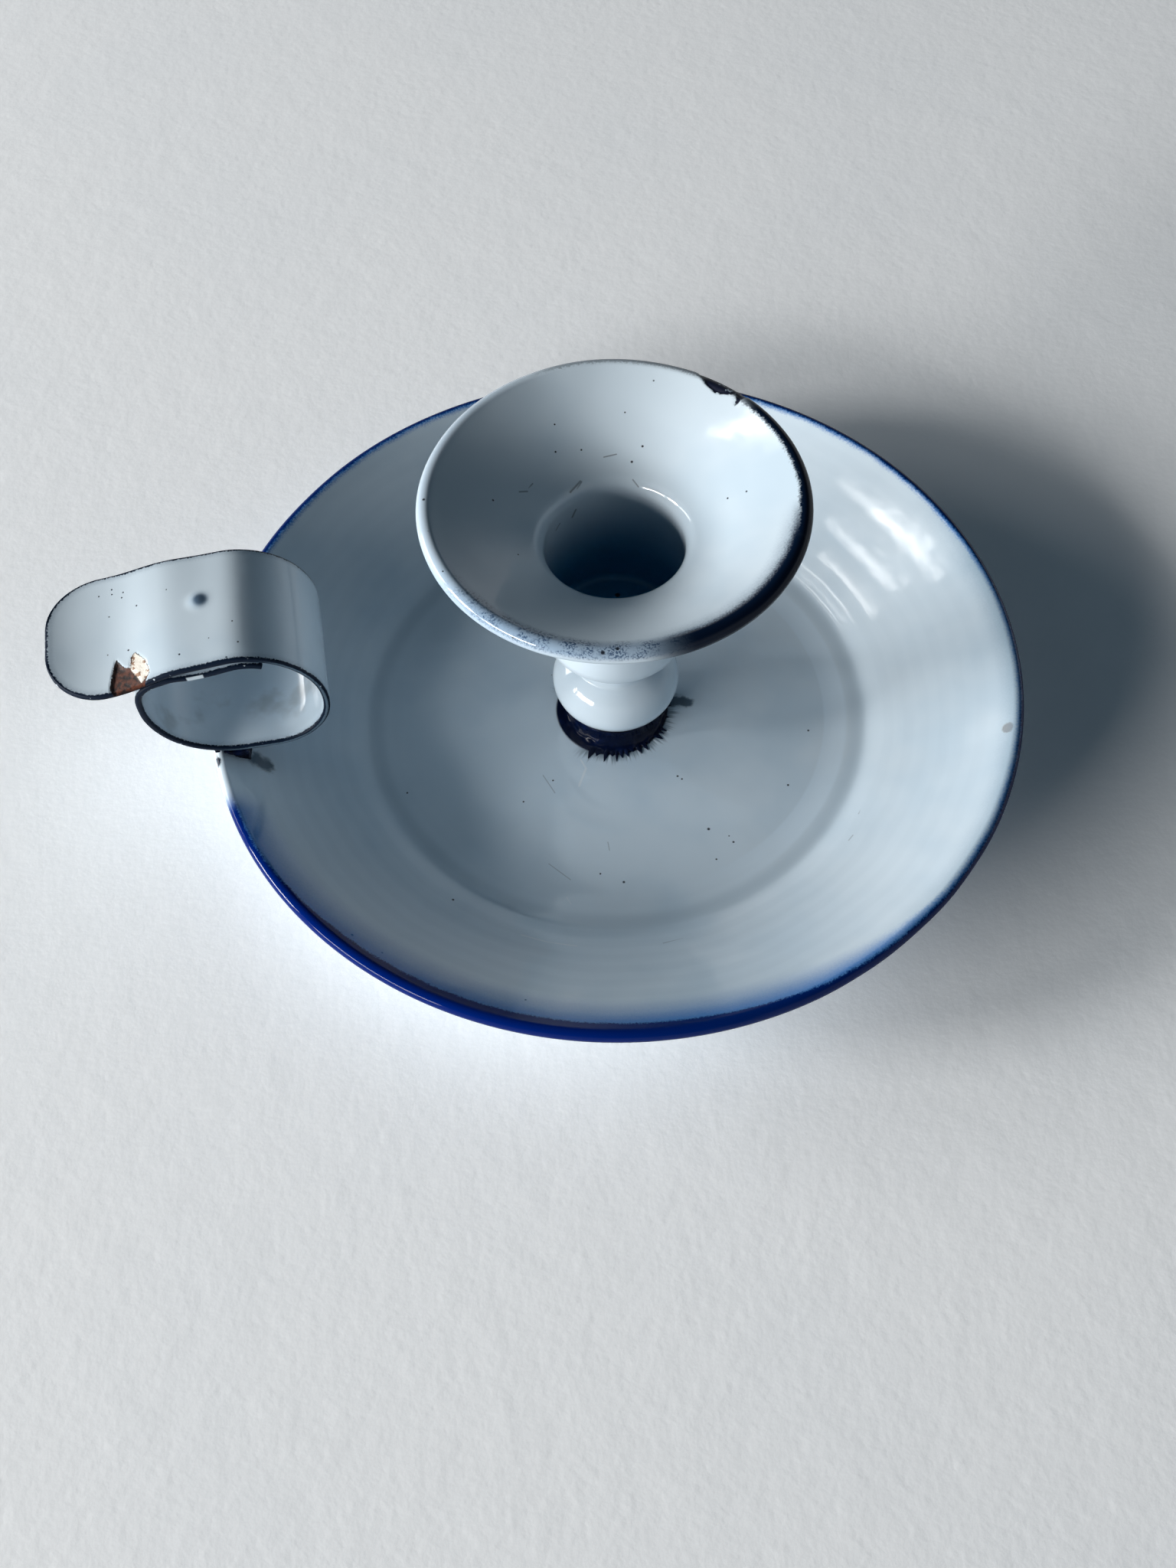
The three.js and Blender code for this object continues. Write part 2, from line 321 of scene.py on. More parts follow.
def dish_warp(radius, height, angle):
    """Marks of spinning on the wall, a floor that isn't quite flat and a rim with small knocks."""
    drift = 0.5 * ripple(angle, 0.8, 12.0)
    waves = 0.0
    for start, stop, spacing, tall in RIPPLES:
        here = smooth(start, start + 3, radius) * (1 - smooth(stop - 3, stop, radius))
        waves += here * tall * math.sin(2 * math.pi * (radius - start + drift) / spacing)
    floor = smooth(12, 20, radius) * (1 - smooth(33, FLOOR_RADIUS, radius))
    sway = FLOOR_SWAY * floor * ripple(angle, 1.1 + radius / 60, 3.0)
    outer = smooth(58, 71, radius)
    knock = sum(depth * math.exp(-((apart(angle, at) / width) ** 2)) for at, width, depth in RIM_DENTS)
    wobble = RIM_WOBBLE + RIM_WOBBLE * ripple(angle, 1.3, 8.0) + knock
    lift = RIM_LIFT * (ripple(angle, 1.5, 5.0) - 1)
    if height < FLOOR_TOP - 0.5 * SHEET and radius < FLOOR_RADIUS:
        sway = 0.0
    return radius - outer * wobble, max(height + waves + sway + outer * lift, 0.0)


def make_dish():
    profile, band = dish_profile()
    return lathe("dish_enamelled", profile, DISH_SEGMENTS, dish_warp, {"band": band})


# Stem and its weld metal

STEM_SEGMENTS = 192
WELD_SEGMENTS = 720
KNOP_STEPS = 60
SEAT_STEPS = 16
STEM_SWELL = 0.06  # how far the stem is from round
STEM_WITHIN = 0.05  # and how far it is drawn in, to keep within the solid


def stem_face():
    cut = math.acos(NECK_RADIUS / KNOP_RADIUS)
    knop = []
    for i in range(KNOP_STEPS + 1):
        angle = -cut + 2 * cut * i / KNOP_STEPS
        knop.append((KNOP_RADIUS * math.cos(angle), KNOP_MIDDLE + KNOP_HALF_HEIGHT * math.sin(angle)))
    seat = SEAT_TOP - SHEET
    corners = [(NECK_RADIUS, SEAT_TOP - SEAT_FLARE), (NECK_RADIUS, seat), (SEAT_RADIUS, seat)]
    foot = straight((NECK_RADIUS, FLOOR_TOP + GAP), knop[0], 8)
    neck = straight(knop[-1], corners[0], 4)
    return distinct(foot + knop + neck + bezier(corners, SEAT_STEPS))


def stem_warp(radius, height, angle):
    swell = STEM_SWELL * ripple(angle, 0.9, height / 9) * smooth(2, 6, radius)
    return radius + swell - STEM_WITHIN, height


def make_stem():
    face = stem_face()
    inside = offset(face[:-SEAT_STEPS - 1] + [(NECK_RADIUS, SEAT_TOP)], -SHEET)
    inside = [(0.0, SEAT_TOP - SHEET), *reversed(inside[:-1])]
    outside = face + [(SEAT_RADIUS, SEAT_TOP), (0.0, SEAT_TOP)]
    return lathe("stem_enamelled", inside + outside, STEM_SEGMENTS, stem_warp)


def tooth_line(seed, pitch, calm, longest):
    """Lengths of the spiky edge of burnt glaze by angle, smooth within the calm angles."""
    draw = random.Random(seed)
    corners, at = [], 0.0
    while at < 360:
        step = pitch * draw.uniform(0.45, 1.5)
        tall = longest * draw.random() ** 1.6
        quiet = 1 - smooth(calm[1], calm[1] + 12, apart(at * DEGREE, calm[0]))
        corners.append((at, -0.15 * (1 - quiet)))
        corners.append((at + step * draw.uniform(0.35, 0.65), tall * (1 - quiet)))
        at += step
    corners.append((360.0, corners[0][1]))
    return corners


TEETH = tooth_line(11, 5.2, (190, 34), 1.9)


@functools.cache
def tooth(angle):
    """Length of the spiky edge at an angle."""
    at = angle / DEGREE
    for a, b in zip(TEETH, TEETH[1:]):
        if a[0] <= at <= b[0]:
            return a[1] + (b[1] - a[1]) * (at - a[0]) / max(b[0] - a[0], 1e-9)
    return TEETH[-1][1]


SKIRT_TOP = FLOOR_TOP + 0.1
WELD_SHIFT = 160 * DEGREE  # the glaze ran out furthest on this side
WELD_ASIDE = 0.75  # by how much
WELD_SHORT = 0.55  # how far its edge is drawn in between the spikes
WELD_LUMPS = 0.22


def stem_weld_warp(radius, height, angle):
    """The outer skirt runs out in spikes over the floor, and the mound above it is lumpy."""
    outer = smooth(9.2, STEM_WELD_RADIUS, radius)
    lumps = WELD_LUMPS * ripple(angle, 5.0, height) * smooth(8.2, 8.8, radius) * (1 - outer)
    aside = WELD_ASIDE * math.cos(angle - WELD_SHIFT)
    reach = outer * (tooth(angle) - WELD_SHORT + aside + 0.25 * ripple(angle, 1.4, 2.0))
    return radius + reach, height + lumps * smooth(FLOOR_TOP, FLOOR_TOP + 0.6, height)


def make_stem_weld():
    inside = NECK_RADIUS + GAP
    top = FLOOR_TOP + GAP + STEM_WELD_HEIGHT
    low = (STEM_WELD_RADIUS - 1.0, SKIRT_TOP + 0.12)
    mound = [low, (inside + GAP, SKIRT_TOP + 0.3), (inside + GAP, top)]
    skirt = straight((STEM_WELD_RADIUS, FLOOR_TOP), (STEM_WELD_RADIUS - 0.05, SKIRT_TOP), 2)
    skirt += straight(skirt[-1], low, 8)
    bottom = straight((inside, FLOOR_TOP), (STEM_WELD_RADIUS, FLOOR_TOP), 10)
    profile = distinct(bottom + skirt + bezier(mound, 24) + [(inside, top)])
    return lathe("stem_weld_glazed", profile, WELD_SEGMENTS, stem_weld_warp)


def seat_weld_warp(radius, height, angle):
    return radius + 0.05 * ripple(angle, 2.5, 1.0), height


def make_seat_weld():
    inside = SEAT_RADIUS + GAP - 0.35
    corners = [(inside, SEAT_TOP - SEAT_WELD_HEIGHT), (inside + 0.35, SEAT_TOP - GAP)]
    corners.append((SEAT_RADIUS + GAP + SEAT_WELD_WIDTH, SEAT_TOP))
    profile = bezier(corners, 16) + [(inside, SEAT_TOP)]
    return lathe("seat_weld_enamelled", profile, STEM_SEGMENTS, seat_weld_warp)


# Candle socket with its drip tray

SOCKET_SEGMENTS = 360
LIP_WOBBLE = 0.1  # how far the lip is from round
LIP_WITHIN = 0.12  # and how far it is drawn in, to keep within the solid
LIP_LIFT = 0.12  # how far it is from level
LIP_CHIP_DEPTH = 0.3
TRAY_HAMMERING = 0.03
CHIP = (  # outline, as degrees and radius
    (39, 27.9), (41, 29.4), (44, 28.6), (48, 28.1), (52, 28.6), (55, 29.6), (57, 30.4), (58, 33), (37, 33),
)


def socket_face():
    corner = (BORE_RADIUS - BORE_CORNER, BORE_FLOOR + BORE_CORNER)
    start = on_circle(MOUTH, MOUTH_RADIUS, UP + TRAY_INNER_SLOPE)
    end = on_circle(LIP, LIP_RADIUS, UP + TRAY_OUTER_SLOPE)
    inner, outer = math.tan(TRAY_INNER_SLOPE), math.tan(TRAY_OUTER_SLOPE)
    crossing = (end[1] - start[1] + inner * start[0] - outer * end[0]) / (inner - outer)
    pull = (crossing, start[1] + inner * (crossing - start[0]))
    bottom = arc(corner, BORE_CORNER, -UP, 0, 10)
    return distinct([
        *straight((0.0, BORE_FLOOR), bottom[0], 10),
        *bottom,
        *straight(bottom[-1], (BORE_RADIUS, MOUTH[1]), 30),
        *arc(MOUTH, MOUTH_RADIUS, math.pi, UP + TRAY_INNER_SLOPE, 24),
        *bezier([start, pull, end], 44),
        *arc(LIP, LIP_RADIUS, UP + TRAY_OUTER_SLOPE, -LIP_END, 30),
    ])


FAR_OUTSIDE = 3.0  # the limit to which a distance outside a polygon is told


def inside_polygon(corners, x, y):
    """Distance in from the nearest side of a polygon, below zero outside, to a limit."""
    for at, places in ((x, [c[0] for c in corners]), (y, [c[1] for c in corners])):
        if not min(places) - FAR_OUTSIDE < at < max(places) + FAR_OUTSIDE:
            return -FAR_OUTSIDE
    nearest, inside = FAR_OUTSIDE, False
    for (ax, ay), (bx, by) in zip(corners, corners[1:] + corners[:1]):
        dx, dy = bx - ax, by - ay
        part = min(max(((x - ax) * dx + (y - ay) * dy) / (dx * dx + dy * dy), 0.0), 1.0)
        nearest = min(nearest, math.hypot(x - ax - part * dx, y - ay - part * dy))
        if (ay > y) != (by > y) and x < ax + (y - ay) / (by - ay) * dx:
            inside = not inside
    return nearest if inside else -nearest


def lip_chip(radius, angle):
    """How far inside the chipped place on the lip a point lies, in millimetres."""
    at = (angle / DEGREE + 180) % 360 - 180
    along = at * DEGREE * LIP[0]
    ragged = 0.25 * noise.noise(Vector((along * 1.7, radius * 1.7, 4.0)))
    return inside_polygon([(a * DEGREE * LIP[0], r) for a, r in CHIP], along, radius) + ragged


def socket_warp(radius, height, angle):
    """A lip that isn't quite round or level, and the chip knocked out of its top."""
    outer = smooth(22, 31, radius)
    wobble = outer * (LIP_WOBBLE * ripple(angle, 1.2, 6.0) - LIP_WITHIN)
    lift = outer * LIP_LIFT * (ripple(angle, 1.6, 9.0) - 1.5)
    top = height > LIP[1] - 0.6
    sunk = LIP_CHIP_DEPTH * smooth(0.0, 0.5, lip_chip(radius, angle)) if top else 0.0
    hammer = TRAY_HAMMERING * ripple(angle, radius / 7, height / 6) * smooth(13, 16, radius)
    return radius + wobble, height + lift - sunk + hammer


def make_socket():
    face = socket_face()
    back = offset(face, SHEET)
    back[0] = (0.0, BORE_FLOOR - SHEET)
    profile = face + thinned(back)[::-1]
    travelled = lengths(profile)
    lip = [travelled[len(face) - 1] - length for length in travelled]
    socket = lathe("socket_enamelled", profile, SOCKET_SEGMENTS, socket_warp, {"lip": lip})
    add_chip(socket)
    return socket


def thinned(line):
    """The same line with fewer points and both its ends."""
    return line[:-1:BACK_SKIP] + line[-1:]


def add_chip(socket):
    numbers = []
    for vertex in socket.data.vertices:
        x, y, z = vertex.co / MM
        high = z > LIP[1] - 1.2
        numbers.append(lip_chip(math.hypot(x, y), math.atan2(y, x)) if high else -FAR_OUTSIDE)
    give(socket.data, "chip", numbers)


# Handle strap

STRAP_STEP = 0.32
TIP_TRIM = 1  # steps taken off the end of the thumb rest, so that it keeps within the solid
STRAP_ACROSS = 66
TIP_STEPS = (0.02, 0.06, 0.12, 0.2, 0.3, 0.42, 0.55)  # where the tip's rounded end is cut
TWIST = 4.5 * DEGREE  # the thumb rest is turned a little down on its near side
TWIST_FROM, TWIST_TO = 30.0, 8.0
CROWN_WAVES = ((26.5, 7.0, -0.32), (12.0, 6.0, -0.05))  # middle, half its length and height of each
TAIL_CROWN = 121.2  # along the tail, the place that lies under the crown's inner end
CROWN_END = 30.6  # that end, along the strap
TAIL_RAGGED = 2.2  # how unevenly the tail's end is torn
TAIL_HANG = 0.6  # the tail's near side hangs this far below the strap that it laps
TAIL_FALL = (110.5, 115.0)
TAIL_RISE = (118.0, 127.0)
TAIL_TAPER = 1.5  # how much shorter the tail is on its near side
TAIL_CUT = 20.0  # the length over which it is drawn in
PIP = (26.2, 1.8)  # along and across the strap
PIP_RADIUS = 1.3
PIP_HEIGHT = 0.42
THUMB_CHIP = (
    (11.5, -5.3), (10.7, -8.0), (10.2, -10.9), (10.9, -12.6), (15.9, -12.6), (17.4, -9.8), (16.7, -7.0),
    (14.9, -4.9), (14.1, -5.8), (13.8, -7.7), (12.7, -7.2),
)
THUMB_FLAKE = (
    (13.8, -7.9), (14.2, -5.6), (14.9, -4.9), (16.7, -7.0), (17.5, -9.8), (16.5, -10.6), (15.5, -11.4),
    (14.9, -9.8),
)
CHIP_DEPTH = 0.34
HAMMERING = 0.07


def strap_line():
    """Outer face of the strap, from the end of the thumb rest round the loop to the end of its tail."""
    crown_end = on_circle(CROWN_CENTRE, CROWN_RADIUS, UP - CROWN_TURN)
    saddle = on_circle(crown_end, SADDLE_RADIUS, UP - CROWN_TURN)
    lap = CROWN_RADIUS - STRAP_SHEET - LAP_GAP
    bend_x = LOOP_OUTER_END - TAIL_BEND - CROWN_CENTRE[0]
    bend_rise = math.sqrt((lap - TAIL_BEND) ** 2 - bend_x ** 2)
    bend = (LOOP_OUTER_END - TAIL_BEND, CROWN_CENTRE[1] + bend_rise)
    bend_end = math.atan2(bend_rise, bend_x)
    line = [
        *arc(saddle, SADDLE_RADIUS, -UP + SADDLE_LIFT, -UP - CROWN_TURN, 60),
        *arc(CROWN_CENTRE, CROWN_RADIUS, UP - CROWN_TURN, UP, 50),
        *arc(TOP_CENTRE, TOP_RADIUS, UP, UP * 2, 90),
        *arc(STEM_CENTRE, STEM_RADIUS, UP * 2, UP * 3, 70),
        *arc(OUTER_CENTRE, OUTER_RADIUS, UP * 3, UP * 4, 90),
        *arc(bend, TAIL_BEND, 0, bend_end, 30),
        *arc(CROWN_CENTRE, lap, bend_end, UP, 30),
        *arc(TOP_CENTRE, TOP_RADIUS - STRAP_SHEET - LAP_GAP, UP, UP + TAIL_LAP, 24),
    ]
    return eased(resampled(distinct(line), STRAP_STEP), 4)[TIP_TRIM:]


def strap_half(along):
    """Half the strap's width at a place along it: its end is rounded."""
    short = max(THUMB_CORNER - along, 0.0)
    return STRAP_HALF - THUMB_CORNER + math.sqrt(THUMB_CORNER ** 2 - short ** 2)


def strap_section(half, thick):
    """Points (across, depth) round a cut through the strap, from the near edge over its outer face."""
    edge = min(STRAP_EDGE, thick / 2)
    top, bottom = (thick - STRAP_SHEET) / 2, -(thick + STRAP_SHEET) / 2
    flat = half - edge
    outer = [(-flat + 2 * flat * i / STRAP_ACROSS, top) for i in range(STRAP_ACROSS + 1)]
    far = arc((flat, top - edge), edge, UP, 0, 4)[1:] + arc((flat, bottom + edge), edge, 0, -UP, 4)[:-1]
    inner = [(-p, bottom) for p, _ in outer]
    near = [(-p, q) for p, q in reversed(far)]
    return outer + far + inner + near


def strap_edge(along, across, total):
    """Distance from the strap's nearest edge."""
    beyond, aside = THUMB_CORNER - along, abs(across) - (STRAP_HALF - THUMB_CORNER)
    if beyond > 0 and aside > 0:
        return THUMB_CORNER - math.hypot(beyond, aside)
    return min(along, STRAP_HALF - abs(across), total - along)


def strap_pip(along, across):
    near = math.dist((along, across), PIP) / PIP_RADIUS
    return PIP_HEIGHT * math.exp(-near * near)


def crown_wave(along):
    """The crown is beaten to an even ramp with a tighter turn at its top, and so is the tail under it."""
    rise = 0.0
    for middle, half, height in CROWN_WAVES:
        for place in (along, along + CROWN_END - TAIL_CROWN):
            away = min(abs(place - middle) / half, 1.0)
            rise += height * math.cos(away * UP) ** 2
    return rise


def strap_depth(along, across, depth):
    """A point's depth with the weld's pip, the chipped place and slight hammering."""
    if depth > -0.5 * STRAP_SHEET:
        depth += strap_pip(along, across)
        chip = inside_polygon(THUMB_CHIP, along, across)
        flake = inside_polygon(THUMB_FLAKE, along, across)
        depth -= CHIP_DEPTH * smooth(0.0, 0.3, chip) * (1 - 0.6 * smooth(0.0, 0.4, flake))
    waves = HAMMERING * noise.noise(Vector((along / 9, across / 8, 2.0)))
    low = smooth(*TAIL_FALL, along) * (1 - smooth(*TAIL_RISE, along))
    hang = TAIL_HANG * low * (1 - smooth(-STRAP_HALF, 4.0, across))
    return depth + crown_wave(along) + waves - hang


def strap_place(line, along, across, depth):
    """A point of the strap in the dish's frame."""
    k = min(int(along / STRAP_STEP), len(line) - 2)
    foot = mixed(line[k], line[k + 1], along / STRAP_STEP - k)
    travel = mixed(direction(line, k), direction(line, k + 1), along / STRAP_STEP - k)
    lean = TWIST * (1 - smooth(TWIST_TO, TWIST_FROM, along))
    rise = depth + math.sin(lean) * across
    aside = across * math.cos(lean)
    out = foot[0] + travel[1] * rise - BEAD[0]
    high = foot[1] - travel[0] * rise
    x = -BEAD[0] - math.cos(HANDLE_SKEW) * out - math.sin(HANDLE_SKEW) * aside
    y = -math.sin(HANDLE_SKEW) * out + math.cos(HANDLE_SKEW) * aside
    return (x, y, high)


def tail_shorter(along, across, total):
    """How far a point of the tail is drawn back, for an end that is torn unevenly and runs askew."""
    torn = TAIL_RAGGED * abs(noise.noise(Vector((across * 0.5, 7.0, 1.0))))
    askew = TAIL_TAPER * (1 - smooth(-STRAP_HALF, 2.0, across))
    return torn * smooth(total - 3, total, along) + askew * smooth(total - TAIL_CUT, total, along)


def strap_stations(line):
    """Where the strap is cut, as (place along it, thickness), and its whole length."""
    tip = [(at, 2 * math.sqrt(at * (STRAP_SHEET - at))) for at in TIP_STEPS]
    places = [i * STRAP_STEP for i in range(len(line))]
    return tip + [(at, STRAP_SHEET) for at in places if at > TIP_STEPS[-1] + STRAP_STEP / 2], places[-1]


def strap_values(along, across, depth, total):
    """What the strap's material needs to know at a point."""
    return {
        "along": along,
        "across": across,
        "edge": strap_edge(along, across, total),
        "side": max(1 - abs(2 * depth / STRAP_SHEET + 1), 0.0),
        "outer": 1.0 if depth > -0.5 * STRAP_SHEET else 0.0,
        "chip": inside_polygon(THUMB_CHIP, along, across),
        "flake": inside_polygon(THUMB_FLAKE, along, across),
    }


def make_strap():
    line = strap_line()
    stations, total = strap_stations(line)
    points, rows = [], []
    for along, thick in stations:
        for across, depth in strap_section(strap_half(along), thick):
            drawn = along - tail_shorter(along, across, total)
            points.append(strap_place(line, drawn, across, strap_depth(along, across, depth)))
            rows.append(strap_values(along, across, depth, total))
    count = len(points) // len(stations)
    rings = [range(count * k, count * (k + 1)) for k in range(len(stations))]
    faces = [face for a, b in zip(rings, rings[1:]) for face in joined(a, b)]
    faces += [list(rings[0]), list(rings[-1])]
    values = {key: [row[key] for row in rows] for key in rows[0]}
    return mesh_object("strap_enamelled", points, faces, values)


# Weld metal under the handle

WELD_VOXEL = 0.22
WELD_SOFTENING = 24  # rounds of smoothing
JOINT_LUMPS = 0.16
JOINT_WITHIN = 0.04  # how far the lumps are sunk, to keep within the solid
JOINT_DRAWN = 0.34  # how far the weld's inner end is drawn back, as a part of its reach


def applied(obj):
    """Gives an object the mesh that its modifiers make."""
    graph = bpy.context.evaluated_depsgraph_get()
    made = bpy.data.meshes.new_from_object(obj.evaluated_get(graph))
    obj.modifiers.clear()
    obj.data = made


def make_handle_weld():
    obj = linked("handle_weld_glazed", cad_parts["handle_weld"].data.copy())
    remesh = obj.modifiers.new("even", "REMESH")
    remesh.mode = "VOXEL"
    remesh.voxel_size = WELD_VOXEL * MM
    soften = obj.modifiers.new("soften", "SMOOTH")
    soften.factor = 0.5
    soften.iterations = WELD_SOFTENING
    applied(obj)
    obj.data.materials.clear()
    for vertex in obj.data.vertices:
        place = vertex.co / MM
        lump = noise.fractal(place * 0.8, 1.0, 2.0, 3)
        inward = (place.x + BEAD[0]) * math.cos(HANDLE_SKEW) + place.y * math.sin(HANDLE_SKEW)
        drawn = JOINT_DRAWN * max(inward, 0.0) * (1 + 0.5 * noise.noise(place * 0.3))
        vertex.co += vertex.normal * (JOINT_LUMPS * lump - JOINT_WITHIN) * MM
        vertex.co.x -= drawn * math.cos(HANDLE_SKEW) * MM
        vertex.co.y -= drawn * math.sin(HANDLE_SKEW) * MM
    smooth_faces(obj.data)
    return obj


# Materials

def srgb(red, green, blue):
    """A colour written as on a screen, 0 to 255, as the shader takes it."""
    def linear(value):
        part = value / 255
        return part / 12.92 if part <= 0.04045 else ((part + 0.055) / 1.055) ** 2.4
    return (linear(red), linear(green), linear(blue), 1.0)


ENAMEL_PALE = srgb(213, 228, 239)
ENAMEL_COOL = srgb(193, 213, 228)
SPIN_RINGS_AND_CREASE_SHADE = srgb(150, 172, 188)
BEND_PAINTED_REFLECTION = srgb(220, 238, 252)
COBALT = srgb(0, 30, 106)
NAVY = srgb(0, 34, 100)
SPRAY = srgb(18, 112, 190)
RIM_HAZE = srgb(84, 124, 150)
LIP_SPRAY_AND_SHADE_GREY = srgb(108, 140, 172)
LIP_GRAIN = srgb(40, 70, 106)
WORN = srgb(6, 22, 44)
WORN_HAZE = srgb(60, 92, 120)
BORE_BLUE_AND_SHADE = srgb(40, 148, 190)
BURNT = srgb(4, 13, 38)
BURNT_BLUE = srgb(8, 22, 56)
BURNT_PALE = srgb(14, 40, 70)
TEAL = srgb(14, 54, 76)
STREAK_PALE = srgb(226, 236, 244)
PINHOLE = srgb(22, 30, 44)
SCRATCH_PALE = srgb(240, 244, 248)
SCRATCH_DARK = srgb(70, 82, 92)
SCRATCH_TRAY = srgb(52, 60, 72)
STAIN_BROWN = srgb(122, 96, 70)
CHIP_FLECK = srgb(150, 164, 178)
EDGE_DARK = srgb(10, 26, 46)
EDGE_HAZE = srgb(84, 110, 136)
EDGE_PALE = srgb(112, 136, 154)
INSIDE_DULL = srgb(132, 138, 138)
RUST = srgb(92, 52, 38)
RUST_DARK = srgb(32, 22, 22)
RUST_RIM = srgb(18, 15, 18)
CREAM = srgb(236, 230, 219)
CREAM_CRACK = srgb(142, 104, 76)
GLAZE_GLOSS = 0.12
FILM_ROUGHNESS = (0.065, 0.13)
SPECK_SIZE = 0.75  # of the radius that a speck is listed with


class Nodes:
    """Short calls that add nodes to a tree and return their outputs."""

    def __init__(self, tree):
        self.tree = tree

    def node(self, kind, *values, **settings):
        made = self.tree.nodes.new("ShaderNode" + kind)
        for key, value in settings.items():
            setattr(made, key, value)
        for socket, value in zip(made.inputs, values):
            self.feed(socket, value)
        return made

    def feed(self, socket, value):
        if isinstance(value, bpy.types.NodeSocket):
            self.tree.links.new(value, socket)
        else:
            socket.default_value = value

    def math(self, operation, *values):
        return self.node("Math", *values, operation=operation).outputs[0]

    def vector(self, operation, *values):
        return self.node("VectorMath", *values, operation=operation).outputs["Vector"]

    def measure(self, operation, *values):
        """A number taken from vectors, such as a distance."""
        return self.node("VectorMath", *values, operation=operation).outputs["Value"]

    def scaled(self, vector, scale):
        made = self.node("VectorMath", vector, operation="SCALE")
        self.feed(made.inputs["Scale"], scale)
        return made.outputs["Vector"]

    def ramp(self, value, low, high):
        """0 at low, 1 at high, smooth between. Low may be the larger."""
        return self.node("MapRange", value, low, high, interpolation_type="SMOOTHSTEP").outputs[0]

    def band(self, value, start, full, last, end):
        """0 up to start, 1 from full to last, and 0 again from end on."""
        return self.both(self.ramp(value, start, full), self.ramp(value, end, last))

    def between(self, kind, first, output, part, a, b):
        """Two values mixed, by the numbers of the sockets that a kind of value has."""
        made = self.node("Mix", part, data_type=kind)
        self.feed(made.inputs[first], a)
        self.feed(made.inputs[first + 1], b)
        return made.outputs[output]

    def mix(self, part, a, b):
        """A colour between two."""
        return self.between("RGBA", 6, 2, part, a, b)

    def blend(self, part, a, b):
        """A number between two."""
        return self.between("FLOAT", 2, 0, part, a, b)

    def both(self, *parts):
        return functools.reduce(functools.partial(self.math, "MULTIPLY"), parts)

    def either(self, *parts):
        return functools.reduce(functools.partial(self.math, "MAXIMUM"), parts)

    def seen(self):
        """1 for rays from the camera and for what it sees in glossy or clear things."""
        rays = self.node("LightPath").outputs
        return self.either(*[rays["Is %s Ray" % kind] for kind in ("Camera", "Glossy", "Transmission")])


